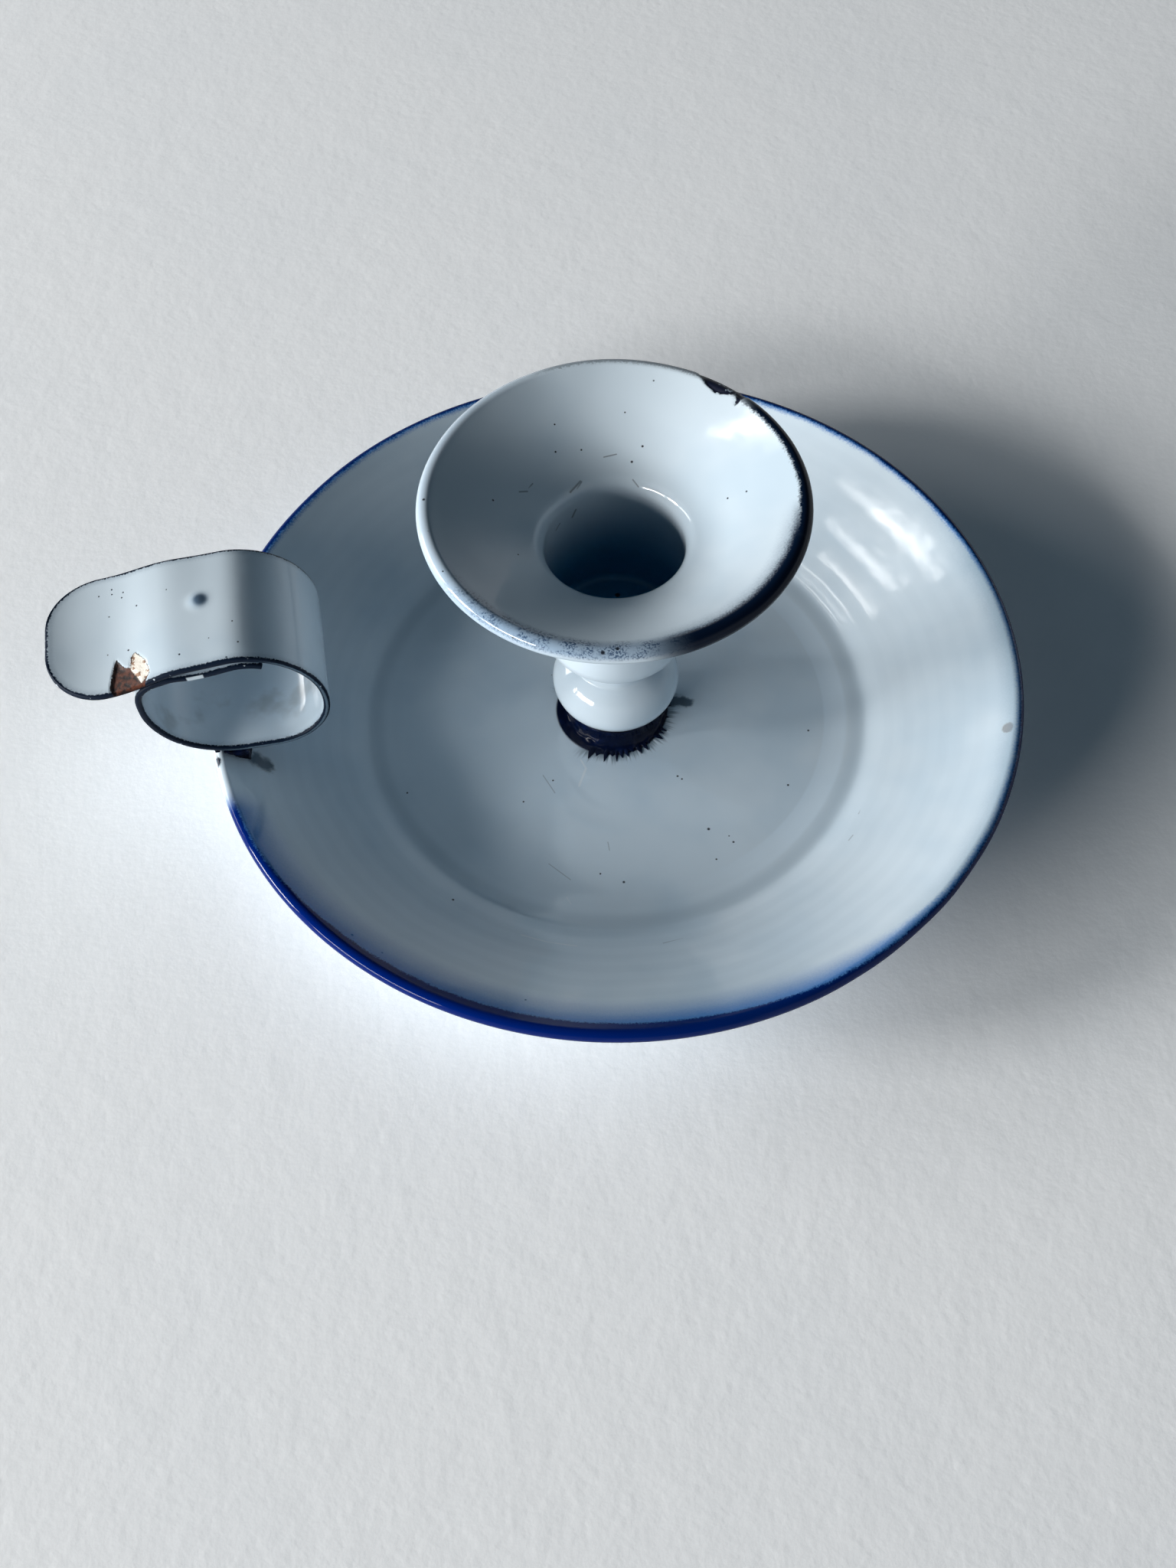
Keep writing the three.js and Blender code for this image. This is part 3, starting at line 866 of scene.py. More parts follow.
class Shade(Nodes):
    """A glossy material whose colour, roughness and height are laid on in coats."""

    def __init__(self, name, colour, roughness, gloss=0.5):
        self.material = bpy.data.materials.new(name)
        self.material.use_nodes = True
        super().__init__(self.material.node_tree)
        self.shader = self.tree.nodes["Principled BSDF"]
        self.colour, self.roughness, self.gloss, self.height = colour, roughness, gloss, None
        self.place = self.scaled(self.node("TexCoord").outputs["Object"], 1 / MM)
        flat = self.vector("MULTIPLY", self.place, (1, 1, 0))
        self.outward = self.vector("NORMALIZE", flat)  # away from the dish's axis
        self.radius = self.measure("LENGTH", flat)
        self.level = self.node("SeparateXYZ", self.place).outputs[2]

    def texture(self, place, scale, detail):
        """Noise as a number and as a colour."""
        made = self.node("TexNoise")
        for key, value in (("Vector", place), ("Scale", scale), ("Detail", detail)):
            self.feed(made.inputs[key], value)
        return made.outputs[0], made.outputs["Color"]

    def shifted(self, shift):
        return self.vector("ADD", self.place, (shift, shift * 1.7, shift * 0.6))

    def noise(self, size, detail, shift=0.0):
        """Soft noise, 0 to 1, with features of that size in millimetres."""
        return self.texture(self.shifted(shift), 1 / size, detail)[0]

    def value(self, name):
        """A number that the mesh holds for each of its points."""
        return self.node("Attribute", attribute_name=name).outputs["Fac"]

    def paint(self, part, colour, roughness=None, height=0.0, gloss=None):
        """Lays a coat on where part is 1. Height is in millimetres."""
        self.colour = self.mix(part, self.colour, colour)
        if roughness is not None:
            self.roughness = self.blend(part, self.roughness, roughness)
        if gloss is not None:
            self.gloss = self.blend(part, self.gloss, gloss)
        if height:
            self.raise_by(self.both(part, height))

    def raise_by(self, height):
        self.height = height if self.height is None else self.math("ADD", self.height, height)

    def facing(self, degrees, half, soft):
        """1 within half of a direction seen from the axis, falling to 0 over the soft angle."""
        at = (math.cos(degrees * DEGREE), math.sin(degrees * DEGREE), 0)
        cosine = self.measure("DOT_PRODUCT", self.outward, at)
        return self.ramp(cosine, math.cos((half + soft) * DEGREE), math.cos(half * DEGREE))

    def spot(self, at, radius, soft):
        """A round mark about a place in millimetres."""
        return self.ramp(self.measure("DISTANCE", self.place, at), radius, radius * (1 - soft))

    def spots(self, marks):
        return self.either(*[self.spot(mark[:3], mark[3] * SPECK_SIZE, 0.5) for mark in marks])

    def scratch(self, a, b, width, place=None):
        """A fine straight mark between two places, fading out at its ends."""
        reach = Vector(b) - Vector(a)
        away = self.vector("SUBTRACT", place or self.place, a)
        along = self.measure("DOT_PRODUCT", away, tuple(reach / reach.length_squared))
        held = self.math("MINIMUM", self.math("MAXIMUM", along, 0.0), 1.0)
        distance = self.measure("DISTANCE", away, self.scaled(tuple(reach), held))
        return self.ramp(distance, width * 0.8, width * 0.1)

    def scratches(self, marks):
        return self.either(*[self.scratch(*mark) for mark in marks])

    def run(self, a, b, width, bend, shift):
        """A run of glaze between two places, with a wandering edge: bend says by how much."""
        wander = self.texture(self.shifted(shift), 0.7, 4.0)[1]
        aside = self.vector("SUBTRACT", wander, (0.5, 0.5, 0.5))
        place = self.vector("ADD", self.place, self.scaled(aside, 2 * bend))
        return self.ramp(self.scratch(a, b, width, place), 0.0, 0.9)

    def uneven(self, base, coarse, fine, shift=0.0):
        """A distance in millimetres with a ragged edge: coarse and fine say by how much."""
        slow = self.math("MULTIPLY_ADD", self.noise(4.0, 2.0, shift + 3.0), 2 * coarse, -coarse)
        quick = self.math("MULTIPLY_ADD", self.noise(0.32, 2.0, shift + 9.0), 2 * fine, -fine)
        return self.math("ADD", self.math("ADD", base, slow), quick)

    def done(self):
        self.feed(self.shader.inputs["Base Color"], self.colour)
        self.feed(self.shader.inputs["Roughness"], self.roughness)
        self.feed(self.shader.inputs["Specular IOR Level"], self.gloss)
        self.shader.inputs["IOR"].default_value = 1.55
        if self.height is not None:
            bump = self.node("Bump")
            bump.inputs["Distance"].default_value = MM
            self.feed(bump.inputs["Height"], self.height)
            self.feed(self.shader.inputs["Normal"], bump.outputs[0])
        return self.material


PINHOLE_CELL = 8.0
PINHOLE_LARGEST = 0.22
PINHOLE_SHARE = 0.3


def pinholes(shade):
    """Tiny round specks, one in some of the cells of that size."""
    cells = shade.node("TexVoronoi")
    shade.feed(cells.inputs["Vector"], shade.place)
    cells.inputs["Scale"].default_value = 1 / PINHOLE_CELL
    draw = shade.node("SeparateColor", cells.outputs["Color"])
    distance = shade.both(cells.outputs["Distance"], PINHOLE_CELL)
    radius = shade.both(draw.outputs[0], PINHOLE_LARGEST)
    kept = shade.math("LESS_THAN", draw.outputs[1], PINHOLE_SHARE)
    return shade.both(shade.ramp(distance, radius, shade.both(radius, 0.55)), kept)


def enamel(name):
    """White enamel: faint clouds in its colour, a fired skin that isn't quite flat, and pinholes."""
    shade = Shade(name, ENAMEL_PALE, FILM_ROUGHNESS[0])
    clouds = shade.ramp(shade.noise(22.0, 3.0), 0.42, 0.72)
    shade.paint(shade.both(clouds, 0.7), ENAMEL_COOL)
    film = shade.ramp(shade.noise(5.0, 4.0, 31.0), 0.5, 0.75)
    shade.roughness = shade.blend(film, *FILM_ROUGHNESS)
    shade.raise_by(shade.both(shade.noise(3.2, 1.0, 12.0), 0.012))
    shade.paint(pinholes(shade), PINHOLE, 0.4, -0.02)
    return shade


RIM_BACK = -6.6  # where the blue ends on the back of the wall
RIM_REACH = (0.3, 2.3)  # how far the blue comes in from the rim's top, where usual and most
RIM_MOST = (250, 8, 36)  # where it comes in most: degrees, half the angle, softness
RIM_LEAST = (335, 15, 35)
RIM_SHORT = -0.9  # change of its reach there
RIM_FEATHER = (0.9, 6.0)  # width of its sprayed edge, where least and most
FEATHER_MOST = (245, 36, 34)
RIM_MIST = (345, 22, 28)  # where it is sprayed furthest and thinnest
BARE_RIM = (190.5, 4.0, 5.0)  # degrees, where the handle's joint left the rim white

STAIN = ((66.3, -21.4, 14.8), 1.9)  # place and radius
FLOOR_SPECKS = (
    (-39.6, -14.1, 1.2, 0.34), (-18.8, -18.3, 1.0, 0.3), (-32.4, -38.2, 3.7, 0.42), (13.5, -27.8, 1.0, 0.5),
    (9.5, -16.1, 1.0, 0.36), (10.2, -16.8, 1.0, 0.34), (-2.7, -36.7, 1.0, 0.4), (-13.1, -14.4, 1.0, 0.3),
    (17.5, -30.9, 1.0, 0.36), (-6.6, -34.6, 1.0, 0.3), (-40.9, -24.1, 2.7, 0.3), (-48.5, -48.5, 14.1, 0.4),
    (-43.8, -52.1, 13.7, 0.34), (-21.4, -62.2, 12.2, 0.3), (14.0, -34.0, 1.0, 0.3), (34.8, -8.9, 1.0, 0.34),
    (29.1, -20.2, 1.0, 0.34), (16.9, -29.6, 1.0, 0.28),
)
PALE_SCRATCHES = (
    ((-7.6, -10.6, 1.0), (-6.9, -12.5, 1.0), 0.3), ((-6.9, -12.5, 1.0), (-8.5, -16.1, 1.0), 0.42),
    ((-12.9, -38.6, 1.1), (-12.3, -40.0, 1.2), 0.22), ((-14.7, -43.7, 2.2), (-12.4, -42.5, 1.7), 0.3),
    ((-21.3, -46.5, 4.1), (-17.0, -48.4, 4.1), 0.3), ((-17.0, -48.4, 4.1), (-12.2, -49.6, 4.1), 0.26),
)
DARK_SCRATCHES = (
    ((-14.8, -13.1, 1.0), (-13.0, -17.1, 1.0), 0.2), ((-15.4, -31.6, 1.0), (-11.9, -35.2, 1.0), 0.18),
    ((2.4, -50.6, 3.9), (5.8, -49.9, 3.8), 0.22), ((-4.6, -28.4, 1.0), (-4.5, -30.1, 1.0), 0.2),
    ((37.1, -34.4, 3.9), (38.0, -33.5, 3.9), 0.25), ((40.0, -28.9, 3.3), (40.7, -27.6, 3.4), 0.25),
)


def spinning_rings(shade):
    """Faint rings left by spinning; at the bend, painted shade in its crease and a painted reflection inside
    it.
    """
    slow = shade.both(shade.noise(14.0, 2.0, 50.0), 5.0)
    wave = shade.math("SINE", shade.math("MULTIPLY_ADD", shade.radius, 2.1, slow))
    fine = shade.math("SINE", shade.math("MULTIPLY_ADD", shade.radius, 5.3, slow))
    rings = shade.ramp(shade.math("ADD", wave, shade.both(fine, 0.3)), -1.3, 1.3)
    wall = shade.both(rings, shade.ramp(shade.radius, 36, 48))
    shade.paint(shade.both(wall, 0.045), SPIN_RINGS_AND_CREASE_SHADE)
    shade.paint(shade.both(wall, shade.facing(240, 50, 40), 0.03), SPIN_RINGS_AND_CREASE_SHADE)
    # painted shade: a darker ring in the crease at the foot of the bend
    shade.paint(shade.both(shade.band(shade.radius, 42.0, 44.6, 45.4, 47.6), 0.28), SPIN_RINGS_AND_CREASE_SHADE)
    # painted reflection: a pale ring inside the bend on the dish's right side
    pale = shade.both(shade.band(shade.radius, 38.4, 39.0, 42.4, 43.2), shade.facing(350, 28, 40))
    shade.paint(shade.both(pale, 0.5), BEND_PAINTED_REFLECTION)


def blue_rim(shade):
    """The rim's blue: widest on its near side, with a sprayed edge, and missing at the handle's joint."""
    band = shade.uneven(shade.value("band"), 0.3, 0.55)
    reach = shade.blend(shade.facing(*RIM_MOST), *RIM_REACH)
    reach = shade.math("MULTIPLY_ADD", shade.facing(*RIM_LEAST), RIM_SHORT, reach)
    past = shade.math("SUBTRACT", band, reach)
    feather = shade.blend(shade.facing(*FEATHER_MOST), *RIM_FEATHER)
    solid = shade.ramp(past, 0.25, -0.35)
    spray = shade.ramp(shade.math("DIVIDE", past, feather), 1.3, -0.2)
    mist = shade.both(shade.ramp(past, 5.0, -0.5), shade.facing(*RIM_MIST))
    back = shade.ramp(band, RIM_BACK - 0.7, RIM_BACK + 0.7)
    kept = shade.both(back, shade.math("SUBTRACT", 1.0, shade.facing(*BARE_RIM)))
    shade.paint(shade.both(mist, kept, 0.6), RIM_HAZE)
    shade.paint(shade.both(spray, kept, 0.95), SPRAY, gloss=0.25)
    tone = shade.mix(shade.facing(225, 25, 35), NAVY, COBALT)
    shade.paint(shade.both(solid, kept), tone, 0.08, gloss=GLAZE_GLOSS)


FRINGE = 10.4  # radius at which the burnt glaze round the foot ends
FRINGE_BLOB = ((11.0, 0.6, 1.0), (13.2, 0.1, 1.0))
JOINT_SMEAR = ((-64.8, -11.0, 12.1), (-63.2, -12.0, 11.3))
JOINT_SPIKE = ((-71.2, -11.5, 15.6), (-70.6, -13.6, 15.5))


def foot_fringe(shade):
    """Burnt glaze drawn out in streaks over the floor round the foot."""
    streaks = shade.texture(shade.scaled(shade.outward, 26.0), 1.0, 3.0)[0]
    side = (math.cos(WELD_SHIFT), math.sin(WELD_SHIFT), 0)
    aside = shade.measure("DOT_PRODUCT", shade.outward, side)
    shifted = shade.math("MULTIPLY_ADD", aside, -WELD_ASIDE, shade.radius)
    reach = shade.math("MULTIPLY_ADD", streaks, 6.0, FRINGE - 2.0)
    past = shade.math("SUBTRACT", shifted, reach)
    calm = shade.math("SUBTRACT", 1.0, shade.facing(190, 30, 16))
    haze = shade.both(shade.ramp(past, 1.0, -0.8), calm, shade.ramp(shifted, 14.8, 11.0))
    pale = shade.both(shade.ramp(streaks, 0.42, 0.34), calm, shade.ramp(shifted, 12.4, 11.0))
    shade.paint(shade.both(haze, 0.6), TEAL, 0.09)
    shade.paint(shade.both(pale, 0.5), STREAK_PALE)
    shade.paint(shade.ramp(shifted, FRINGE + 0.25, FRINGE - 0.2), BURNT, gloss=GLAZE_GLOSS)
    shade.paint(shade.both(shade.run(*FRINGE_BLOB, 2.4, 1.0, 5.0), 0.85), TEAL)


def joint_smear(shade):
    """Burnt glaze that ran from the handle's joint over the wall and down the rim."""
    shade.paint(shade.both(shade.run(*JOINT_SMEAR, 3.0, 1.1, 14.0), 0.8), TEAL)
    shade.paint(shade.run(*JOINT_SPIKE, 1.0, 0.8, 24.0), WORN, gloss=GLAZE_GLOSS)


def under_wear(shade):
    """The underside is rubbed through to the dark ground coat where it stands."""
    ring = shade.band(shade.radius, 33, 36.5, 39.5, 42)
    rubbed = shade.ramp(shade.uneven(0.5, 0.6, 0.55, 40.0), 0.62, 0.85)
    shade.paint(shade.both(shade.ramp(shade.level, 0.3, 0.05), ring, rubbed), PINHOLE, 0.5, -0.03)


def dish_material():
    shade = enamel("dish_enamel")
    spinning_rings(shade)
    shade.paint(shade.both(shade.scratches(PALE_SCRATCHES), 0.55), SCRATCH_PALE, 0.3)
    shade.paint(shade.both(shade.scratches(DARK_SCRATCHES), 0.4), SCRATCH_DARK, 0.35)
    shade.paint(shade.spots(FLOOR_SPECKS), PINHOLE, 0.4, -0.02)
    stain = shade.ramp(shade.uneven(shade.spot(*STAIN, 0.9), 0.3, 0.25, 60.0), 0.35, 0.8)
    shade.paint(shade.both(stain, 0.55), STAIN_BROWN, 0.35)
    blue_rim(shade)
    foot_fringe(shade)
    joint_smear(shade)
    under_wear(shade)
    return shade.done()


LIP_SPECKS = (
    (-29.6, 2.7, 59.4, 0.5), (-29.2, -3.8, 59.4, 0.4), (-17.9, -25.4, 58.6, 0.4), (-20.0, -23.8, 58.6, 0.36),
    (-5.0, -30.0, 59.1, 0.6), (-2.8, -29.6, 59.3, 0.55), (-29.8, 8.0, 59.2, 0.36), (-27.4, -12.0, 59.2, 0.3),
)
TRAY_SPECKS = (
    (-18.9, 6.2, 53.8, 0.36), (4.5, 14.4, 51.1, 0.36), (6.5, 16.3, 52.5, 0.34), (-7.6, 20.5, 55.0, 0.28),
    (-7.9, 16.4, 52.9, 0.3), (-3.6, 16.9, 52.3, 0.28), (4.2, 21.7, 55.1, 0.3), (9.4, 25.4, 58.1, 0.3),
    (18.6, 2.7, 53.2, 0.3), (21.5, 2.3, 54.8, 0.32), (-15.7, -3.7, 51.7, 0.26), (1.2, 7.1, 25.8, 0.8),
)
TRAY_SCRATCHES = (
    ((0.0, 15.7, 51.4), (2.1, 15.9, 51.6), 0.22), ((-6.1, 10.7, 49.2), (-4.3, 12.3, 49.8), 0.34),
    ((-4.9, 11.2, 49.3), (-4.1, 12.2, 49.8), 0.3), ((-14.5, 9.0, 52.2), (-13.2, 9.4, 51.7), 0.26),
    ((-13.0, 10.0, 51.7), (-12.2, 10.9, 51.8), 0.22), ((4.4, 11.9, 49.5), (5.2, 10.9, 48.8), 0.26),
    ((-6.0, 9.8, 44.1), (-5.4, 10.2, 45.4), 0.4), ((-9.0, 7.2, 44.2), (-8.2, 8.0, 44.8), 0.3),
)
LIP_WORN = (312, 24, 18)  # degrees, half the angle, softness
LIP_LINE = (5, 26, 16)
LIP_FAINT = (78, 22, 14)
LIP_SPRAYED = (252, 26, 26)
LIP_SPRAY_AND_SHADE_SIDE = (185, 45, 40)


def lip_wear(shade):
    """The lip is worn to its dark ground coat on the right, and sprayed with dark specks nearest the eye."""
    lip = shade.value("lip")
    rough = shade.uneven(lip, 0.35, 0.7, 100.0)
    front = shade.ramp(rough, -2.4, -0.8)
    mist = shade.both(shade.ramp(rough, 7.6, 3.6), shade.facing(*LIP_WORN), 0.55)
    worn = shade.both(shade.ramp(rough, 5.2, 3.5), shade.facing(*LIP_WORN))
    line = shade.both(shade.ramp(rough, 4.0, 3.2), shade.facing(*LIP_LINE))
    faint = shade.both(shade.ramp(rough, 3.4, 2.6), shade.facing(*LIP_FAINT), 0.5)
    grain = shade.ramp(shade.noise(0.3, 5.0, 130.0), 0.46, 0.58)
    patch = shade.ramp(shade.noise(2.2, 3.0, 140.0), 0.36, 0.6)
    haze = shade.both(shade.band(lip, -0.8, 0.2, 2.4, 4.6), shade.facing(*LIP_SPRAY_AND_SHADE_SIDE))
    crest = shade.both(shade.band(lip, 0.5, 1.4, 3.6, 5.6), shade.facing(*LIP_SPRAYED))
    # grey on the lip's left: partly spray, partly painted shade dimming the side that faces the lamps
    shade.paint(shade.both(haze, 0.35), LIP_SPRAY_AND_SHADE_GREY)
    shade.paint(shade.both(crest, 0.6), LIP_SPRAY_AND_SHADE_GREY)
    shade.paint(shade.both(grain, patch, crest, 0.85), LIP_GRAIN, 0.2)
    shade.paint(shade.both(mist, front), WORN_HAZE)
    shade.paint(shade.both(shade.either(worn, line, faint), front), WORN, 0.2, gloss=GLAZE_GLOSS)


def bore_tint(shade):
    """Bluish thin enamel down in the bore, with painted shade: darker and bluer towards the bottom."""
    inside = shade.ramp(shade.radius, BORE_RADIUS + 0.8, BORE_RADIUS + 0.3)
    deep = shade.ramp(shade.level, MOUTH[1] + 1.0, BORE_FLOOR + 4.0)
    above = shade.ramp(shade.level, BORE_FLOOR - 0.6, BORE_FLOOR - 0.3)
    # partly thin bluish enamel, partly painted shade of the deep bore
    shade.paint(shade.both(inside, deep, above, 0.95), BORE_BLUE_AND_SHADE)


def socket_material():
    shade = enamel("socket_enamel")
    bore_tint(shade)
    shade.paint(shade.both(shade.scratches(TRAY_SCRATCHES), 0.65), SCRATCH_TRAY, 0.4)
    shade.paint(shade.spots(TRAY_SPECKS), PINHOLE, 0.4, -0.02)
    lip_wear(shade)
    shade.paint(shade.spots(LIP_SPECKS), PINHOLE, 0.4)
    chip = shade.ramp(shade.uneven(shade.value("chip"), 0.25, 0.3, 170.0), -0.05, 0.15)
    flecks = shade.ramp(shade.noise(0.8, 3.0, 180.0), 0.6, 0.68)
    shade.paint(chip, shade.mix(flecks, BURNT, CHIP_FLECK), 0.42, -0.06)
    return shade.done()


def stem_material():
    shade = enamel("stem_enamel")
    foot = shade.ramp(shade.uneven(shade.level, 0.3, 0.25, 200.0), 5.4, 4.4)
    shade.paint(foot, BURNT, 0.2, gloss=GLAZE_GLOSS)
    return shade.done()


PIP_MARKS = (  # shift, radius, part and colour of each
    (0.2, 2.3, 0.5, srgb(128, 156, 180)),
    # the dark mark: the worn tip, set off to the side away from the light as painted shade of the pip's far
    # flank
    (0.5, 1.6, 0.85, srgb(52, 80, 108)),
)
STRAP_SPECKS = (
    (13.5, 7.6, 0.3), (13.2, 6.6, 0.32), (11.5, 8.8, 0.34), (11.5, 7.8, 0.3), (15.8, 4.0, 0.34),
    (10.8, 3.4, 0.26), (10.2, -4.0, 0.24), (13.8, -4.2, 0.36), (22.8, -8.4, 0.36), (21.2, 5.4, 0.24),
    (32.5, -8.2, 0.34), (31.8, -3.8, 0.3), (9.2, 8.0, 0.3), (30.5, -11.0, 0.36), (27.8, -6.4, 0.22),
)


def strap_marks(shade, sheet):
    marks = []
    for along, across, radius in STRAP_SPECKS:
        distance = shade.measure("DISTANCE", sheet, (along, across, 0))
        marks.append(shade.ramp(distance, radius * 0.6, radius * 0.3))
    return shade.either(*marks)


def strap_edges(shade):
    """Every edge is worn to the dark ground coat, in a jagged line with white left in it here and there."""
    edge, side, along = shade.value("edge"), shade.value("side"), shade.value("along")
    jagged = shade.uneven(edge, 0.16, 0.36, 220.0)
    shade.paint(shade.both(shade.ramp(jagged, 1.7, 0.2), 0.35), EDGE_HAZE)
    shade.paint(shade.ramp(jagged, 0.62, 0.4), EDGE_DARK, 0.45, gloss=0.1)
    middle = shade.ramp(shade.uneven(side, 0.2, 0.2, 228.0), 0.5, 0.75)
    stem_side = shade.band(along, 34.0, 42.0, 74.0, 82.0)
    shade.paint(shade.both(middle, stem_side, 0.7), EDGE_PALE, 0.3)
    slivers = shade.both(shade.ramp(shade.noise(1.4, 3.0, 233.0), 0.65, 0.7), shade.ramp(edge, 0.3, 0.1))
    lap = shade.both(shade.band(along, 113.9, 114.2, 117.0, 117.3), shade.ramp(side, 0.1, 0.3))
    shade.paint(shade.either(slivers, lap), ENAMEL_PALE, 0.15, gloss=0.5)


def thumb_chip(shade):
    """Enamel broken off the thumb rest: rusty iron, with a flake of cream ground left at one side."""
    outer, bare = shade.value("outer"), shade.value("chip")
    chip = shade.both(shade.ramp(shade.uneven(bare, 0.2, 0.22, 250.0), -0.02, 0.12), outer)
    flake = shade.both(shade.ramp(shade.uneven(shade.value("flake"), 0.3, 0.25, 260.0), 0.0, 0.2), outer)
    grain = shade.noise(0.8, 6.0, 270.0)
    rust = shade.mix(shade.ramp(grain, 0.4, 0.62), RUST_DARK, RUST)
    cracks = shade.ramp(shade.noise(1.1, 5.0, 280.0), 0.53, 0.62)
    rim = shade.both(shade.ramp(bare, 0.9, 0.0), shade.ramp(shade.value("along"), 13.4, 11.6))
    shade.paint(chip, rust, 0.75)
    shade.paint(shade.both(chip, rim, 0.85), RUST_RIM, 0.6)
    shade.paint(shade.both(chip, flake), shade.mix(cracks, CREAM, CREAM_CRACK), 0.55)
    shade.raise_by(shade.both(chip, grain, 0.14))


def strap_material():
    shade = enamel("strap_enamel")
    sheet = shade.node("CombineXYZ", shade.value("along"), shade.value("across"), 0.0).outputs[0]
    outer = shade.value("outer")
    for shift, radius, part, colour in PIP_MARKS:
        near = shade.measure("DISTANCE", sheet, (PIP[0] + shift, PIP[1], 0))
        shade.paint(shade.both(shade.ramp(near, radius, 0.4 * radius), outer, part), colour)
    inside = shade.math("SUBTRACT", 1.0, outer)
    dull = shade.ramp(shade.noise(6.0, 3.0, 300.0), 0.48, 0.72)
    shade.paint(shade.both(inside, dull, 0.4), INSIDE_DULL, 0.2)
    shade.paint(shade.both(strap_marks(shade, sheet), outer), PINHOLE, 0.4, -0.03)
    strap_edges(shade)
    thumb_chip(shade)
    return shade.done()


def glaze_material(name):
    """Dark ground coat, thick and glassy where it ran."""
    shade = Shade(name, BURNT, 0.16, GLAZE_GLOSS)
    shade.paint(shade.ramp(shade.noise(2.2, 3.0, 400.0), 0.5, 0.75), BURNT_BLUE)
    thin = shade.ramp(shade.noise(1.0, 3.0, 410.0), 0.66, 0.74)
    shade.paint(shade.both(thin, 0.6), BURNT_PALE, 0.3)
    shade.raise_by(shade.both(shade.noise(0.9, 3.0, 420.0), 0.05))
    return shade.done()


# Pieces

def add_piece(piece, node, material):
    piece.data.materials.append(material)
    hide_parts(node)
    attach(piece, "root")


add_piece(make_dish(), "dish", dish_material())
add_piece(make_stem(), "stem_knop", stem_material())
add_piece(make_socket(), "candle_socket", socket_material())
add_piece(make_strap(), "handle_strap", strap_material())
add_piece(make_stem_weld(), "stem_weld", glaze_material("foot_glaze"))
add_piece(make_seat_weld(), "seat_weld", enamel("seat_enamel").done())
add_piece(make_handle_weld(), "handle_weld", glaze_material("joint_glaze"))


# Floor, light and camera

FLOOR_SIZE = 8.0
FLOOR_COLOUR = srgb(232, 234, 236)
FLOOR_CLOUD = srgb(228, 231, 234)
FLOOR_LIFT = 1.42


def make_floor():
    half = FLOOR_SIZE / 2
    mesh = bpy.data.meshes.new("floor")
    corners = [(-half, -half, 0), (half, -half, 0), (half, half, 0), (-half, half, 0)]
    mesh.from_pydata(corners, [], [(0, 1, 2, 3)])
    floor = linked("floor", mesh)
    shade = Shade("floor_paint", FLOOR_COLOUR, 0.6)
    shade.paint(shade.both(shade.ramp(shade.noise(60.0, 3.0), 0.4, 0.7), 0.5), FLOOR_CLOUD)
    grain = shade.math("ADD", shade.noise(1.6, 4.0, 500.0), shade.both(shade.noise(7.0, 2.0, 510.0), 1.5))
    shade.raise_by(shade.both(grain, 0.05))
    mesh.materials.append(shade.done())
    lighten(shade)


def lighten(shade):
    """The floor looks paler to the camera and in reflections than the light that it throws on the part."""
    pale = shade.node("BsdfDiffuse", shade.scaled(shade.colour, FLOOR_LIFT))
    shade.feed(pale.inputs["Normal"], shade.shader.inputs["Normal"].links[0].from_socket)
    choice = shade.node("MixShader", shade.seen(), shade.shader.outputs[0], pale.outputs[0])
    shade.feed(shade.tree.nodes["Material Output"].inputs["Surface"], choice.outputs[0])


def add_softbox(name, azimuth, elevation, distance, size, power, roll=0.0, aim=(0.0, 0.0, 0.0)):
    """A rectangular lamp turned towards the part or a place on it, placed by degrees and metres."""
    lamp = bpy.data.lights.new(name, "AREA")
    lamp.shape = "RECTANGLE"
    lamp.size, lamp.size_y = size
    lamp.energy = power
    lamp.color = DAYLIGHT
    obj = linked(name, lamp)
    round_axis, up = azimuth * DEGREE, elevation * DEGREE
    away = Vector((math.cos(round_axis) * math.cos(up), math.sin(round_axis) * math.cos(up), math.sin(up)))
    back = away * distance - Vector(aim)
    turn = back.to_track_quat("Z", "Y").to_matrix().to_4x4() @ Matrix.Rotation(roll * DEGREE, 4, "Z")
    obj.matrix_world = Matrix.Translation(away * distance) @ turn
    obj.visible_camera = False
    return obj


DAYLIGHT = (1.0, 0.985, 0.96)
SOFTBOXES = (
    ("window_middle", 181, 14.5, 2.6, (0.68, 0.57), 60.0),
    ("window_left", 158, 15, 2.6, (1.0, 0.6), 16.0),
    ("window_low", 210, 13, 2.6, (1.4, 0.21), 27.0),
    ("window_high", 210, 18.5, 2.6, (1.4, 0.21), 27.0),
    ("fill", 315, 28, 2.6, (1.6, 1.2), 2.5),
)
GLINTS = (  # lamps that only show as glints
    ("glint_rim", 151.6, 58.0, 0.35, (0.1, 0.006), 0.0005, 36.5),
    ("glint_wall", 142.7, 59.0, 0.35, (0.09, 0.006), 0.00045, 41.2),
    ("glint_ring", 132.4, 59.8, 0.35, (0.07, 0.006), 0.00035, 46.7),
    ("glint_bend", 144.5, 54.5, 0.35, (0.09, 0.006), 0.00045, 38.9),
)
GLINT_AIM = (0.056, 0.028, 0.015)  # the right wall of the dish
GLINT_SPREAD = 30 * DEGREE
SKY_HORIZON = (0.62, 0.66, 0.70, 1.0)
SKY_ABOVE = (0.035, 0.05, 0.065, 1.0)
SKY_FILL = (0.018, 0.034, 0.048, 1.0)
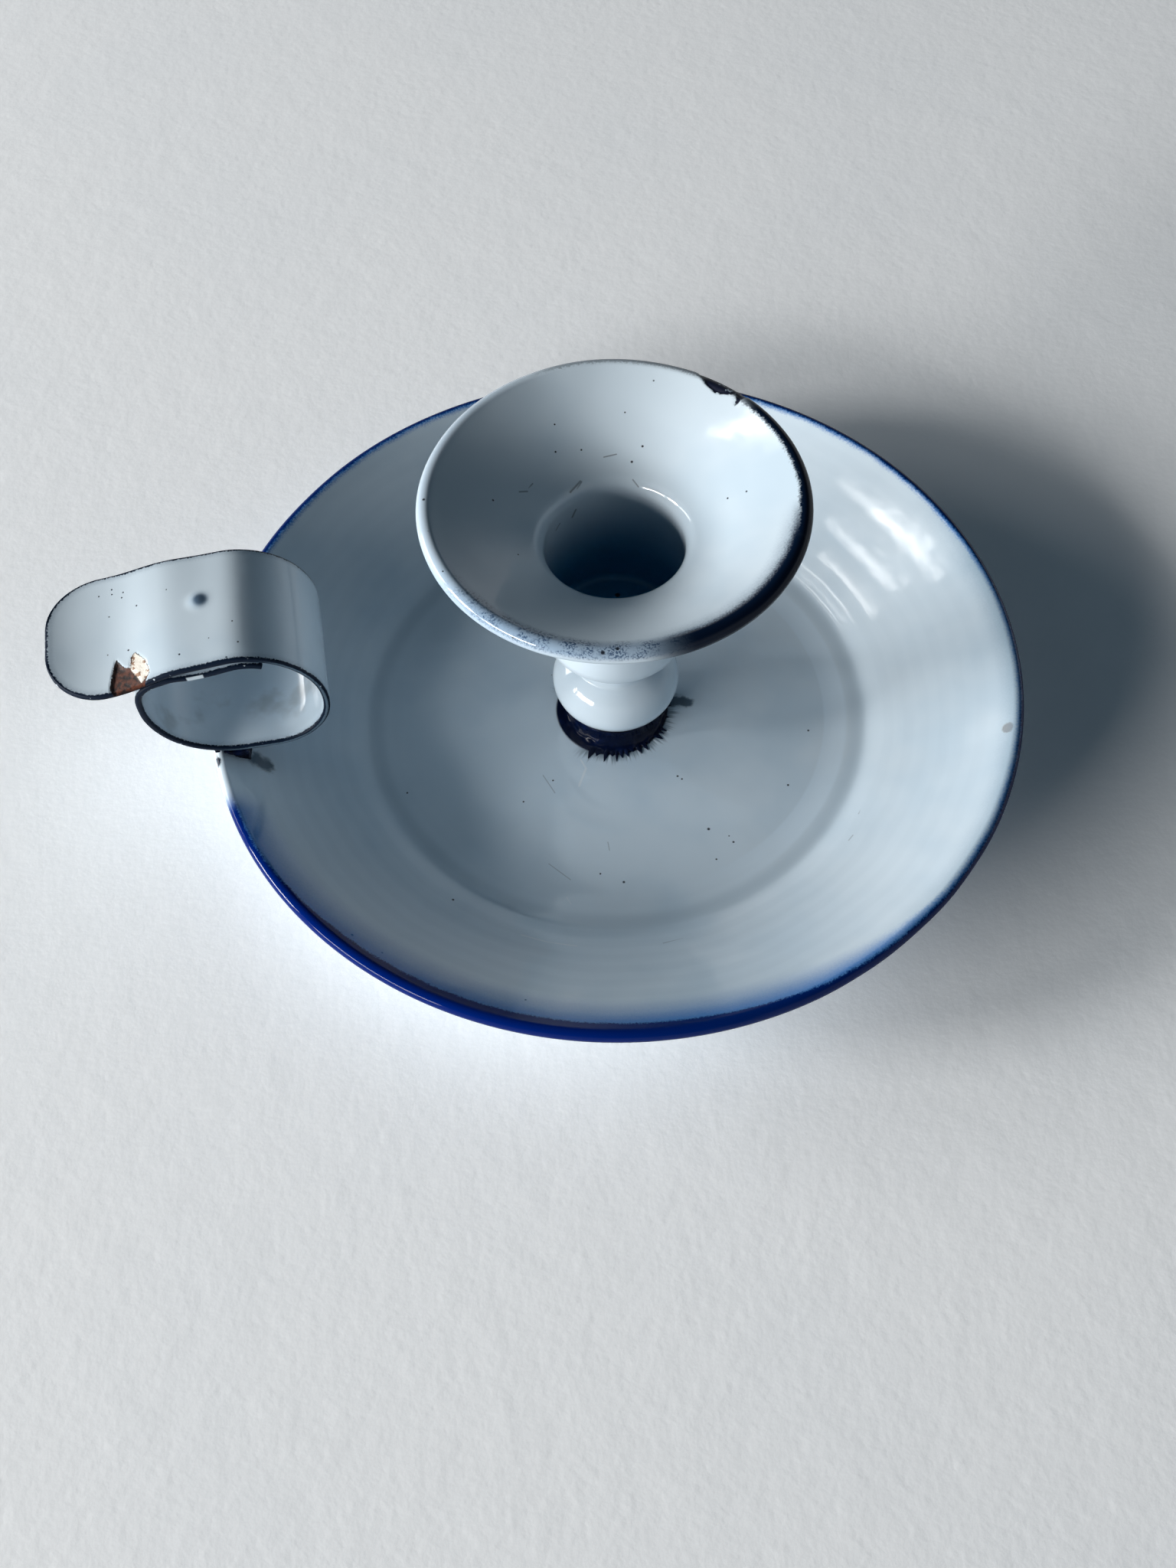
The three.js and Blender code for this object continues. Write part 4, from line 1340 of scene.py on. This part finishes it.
SKY_FADE = (0.1, 0.5)  # heights on the unit sphere between which the walls end


def make_sky():
    """Pale walls all round and a dimmer room above. Rays that light the part get a fill light instead."""
    world = bpy.data.worlds.new("studio")
    world.use_nodes = True
    sky = Nodes(world.node_tree)
    height = sky.node("SeparateXYZ", sky.node("TexCoord").outputs["Generated"]).outputs[2]
    room = sky.mix(sky.ramp(height, *SKY_FADE), SKY_HORIZON, SKY_ABOVE)
    sky.feed(sky.tree.nodes["Background"].inputs["Color"], sky.mix(sky.seen(), SKY_FILL, room))
    bpy.context.scene.world = world


CAMERA_PLACE = Vector((-17.65, -167.90, 243.96)) * MM
CAMERA_HEADING = 4.06 * DEGREE
CAMERA_PITCH = 57.9 * DEGREE
CAMERA_ROLL = 2.11 * DEGREE
CAMERA_LENS = 36.28
CAMERA_SENSOR = 36.0
CAMERA_NEAREST = 0.005


def make_camera():
    """The camera stands where the photograph was taken from."""
    flat = math.cos(CAMERA_PITCH)
    across, ahead = math.sin(CAMERA_HEADING), math.cos(CAMERA_HEADING)
    forward = Vector((across * flat, ahead * flat, -math.sin(CAMERA_PITCH)))
    right = Vector((ahead, -across, 0.0))
    down = forward.cross(right)
    turned_right = right * math.cos(CAMERA_ROLL) + down * math.sin(CAMERA_ROLL)
    turned_down = down * math.cos(CAMERA_ROLL) - right * math.sin(CAMERA_ROLL)
    lens = bpy.data.cameras.new("camera")
    lens.lens = CAMERA_LENS
    lens.sensor_width = CAMERA_SENSOR
    lens.clip_start = CAMERA_NEAREST
    camera = linked("camera", lens)
    turn = Matrix((turned_right, -turned_down, -forward)).transposed()
    camera.matrix_world = Matrix.Translation(CAMERA_PLACE) @ turn.to_4x4()
    bpy.context.scene.camera = camera


make_floor()
make_sky()
make_camera()
for softbox in SOFTBOXES:
    add_softbox(*softbox)
for softbox in GLINTS:
    glint = add_softbox(*softbox, aim=GLINT_AIM)
    glint.visible_diffuse = False
    glint.data.spread = GLINT_SPREAD
bpy.context.scene.view_settings.view_transform = "Standard"
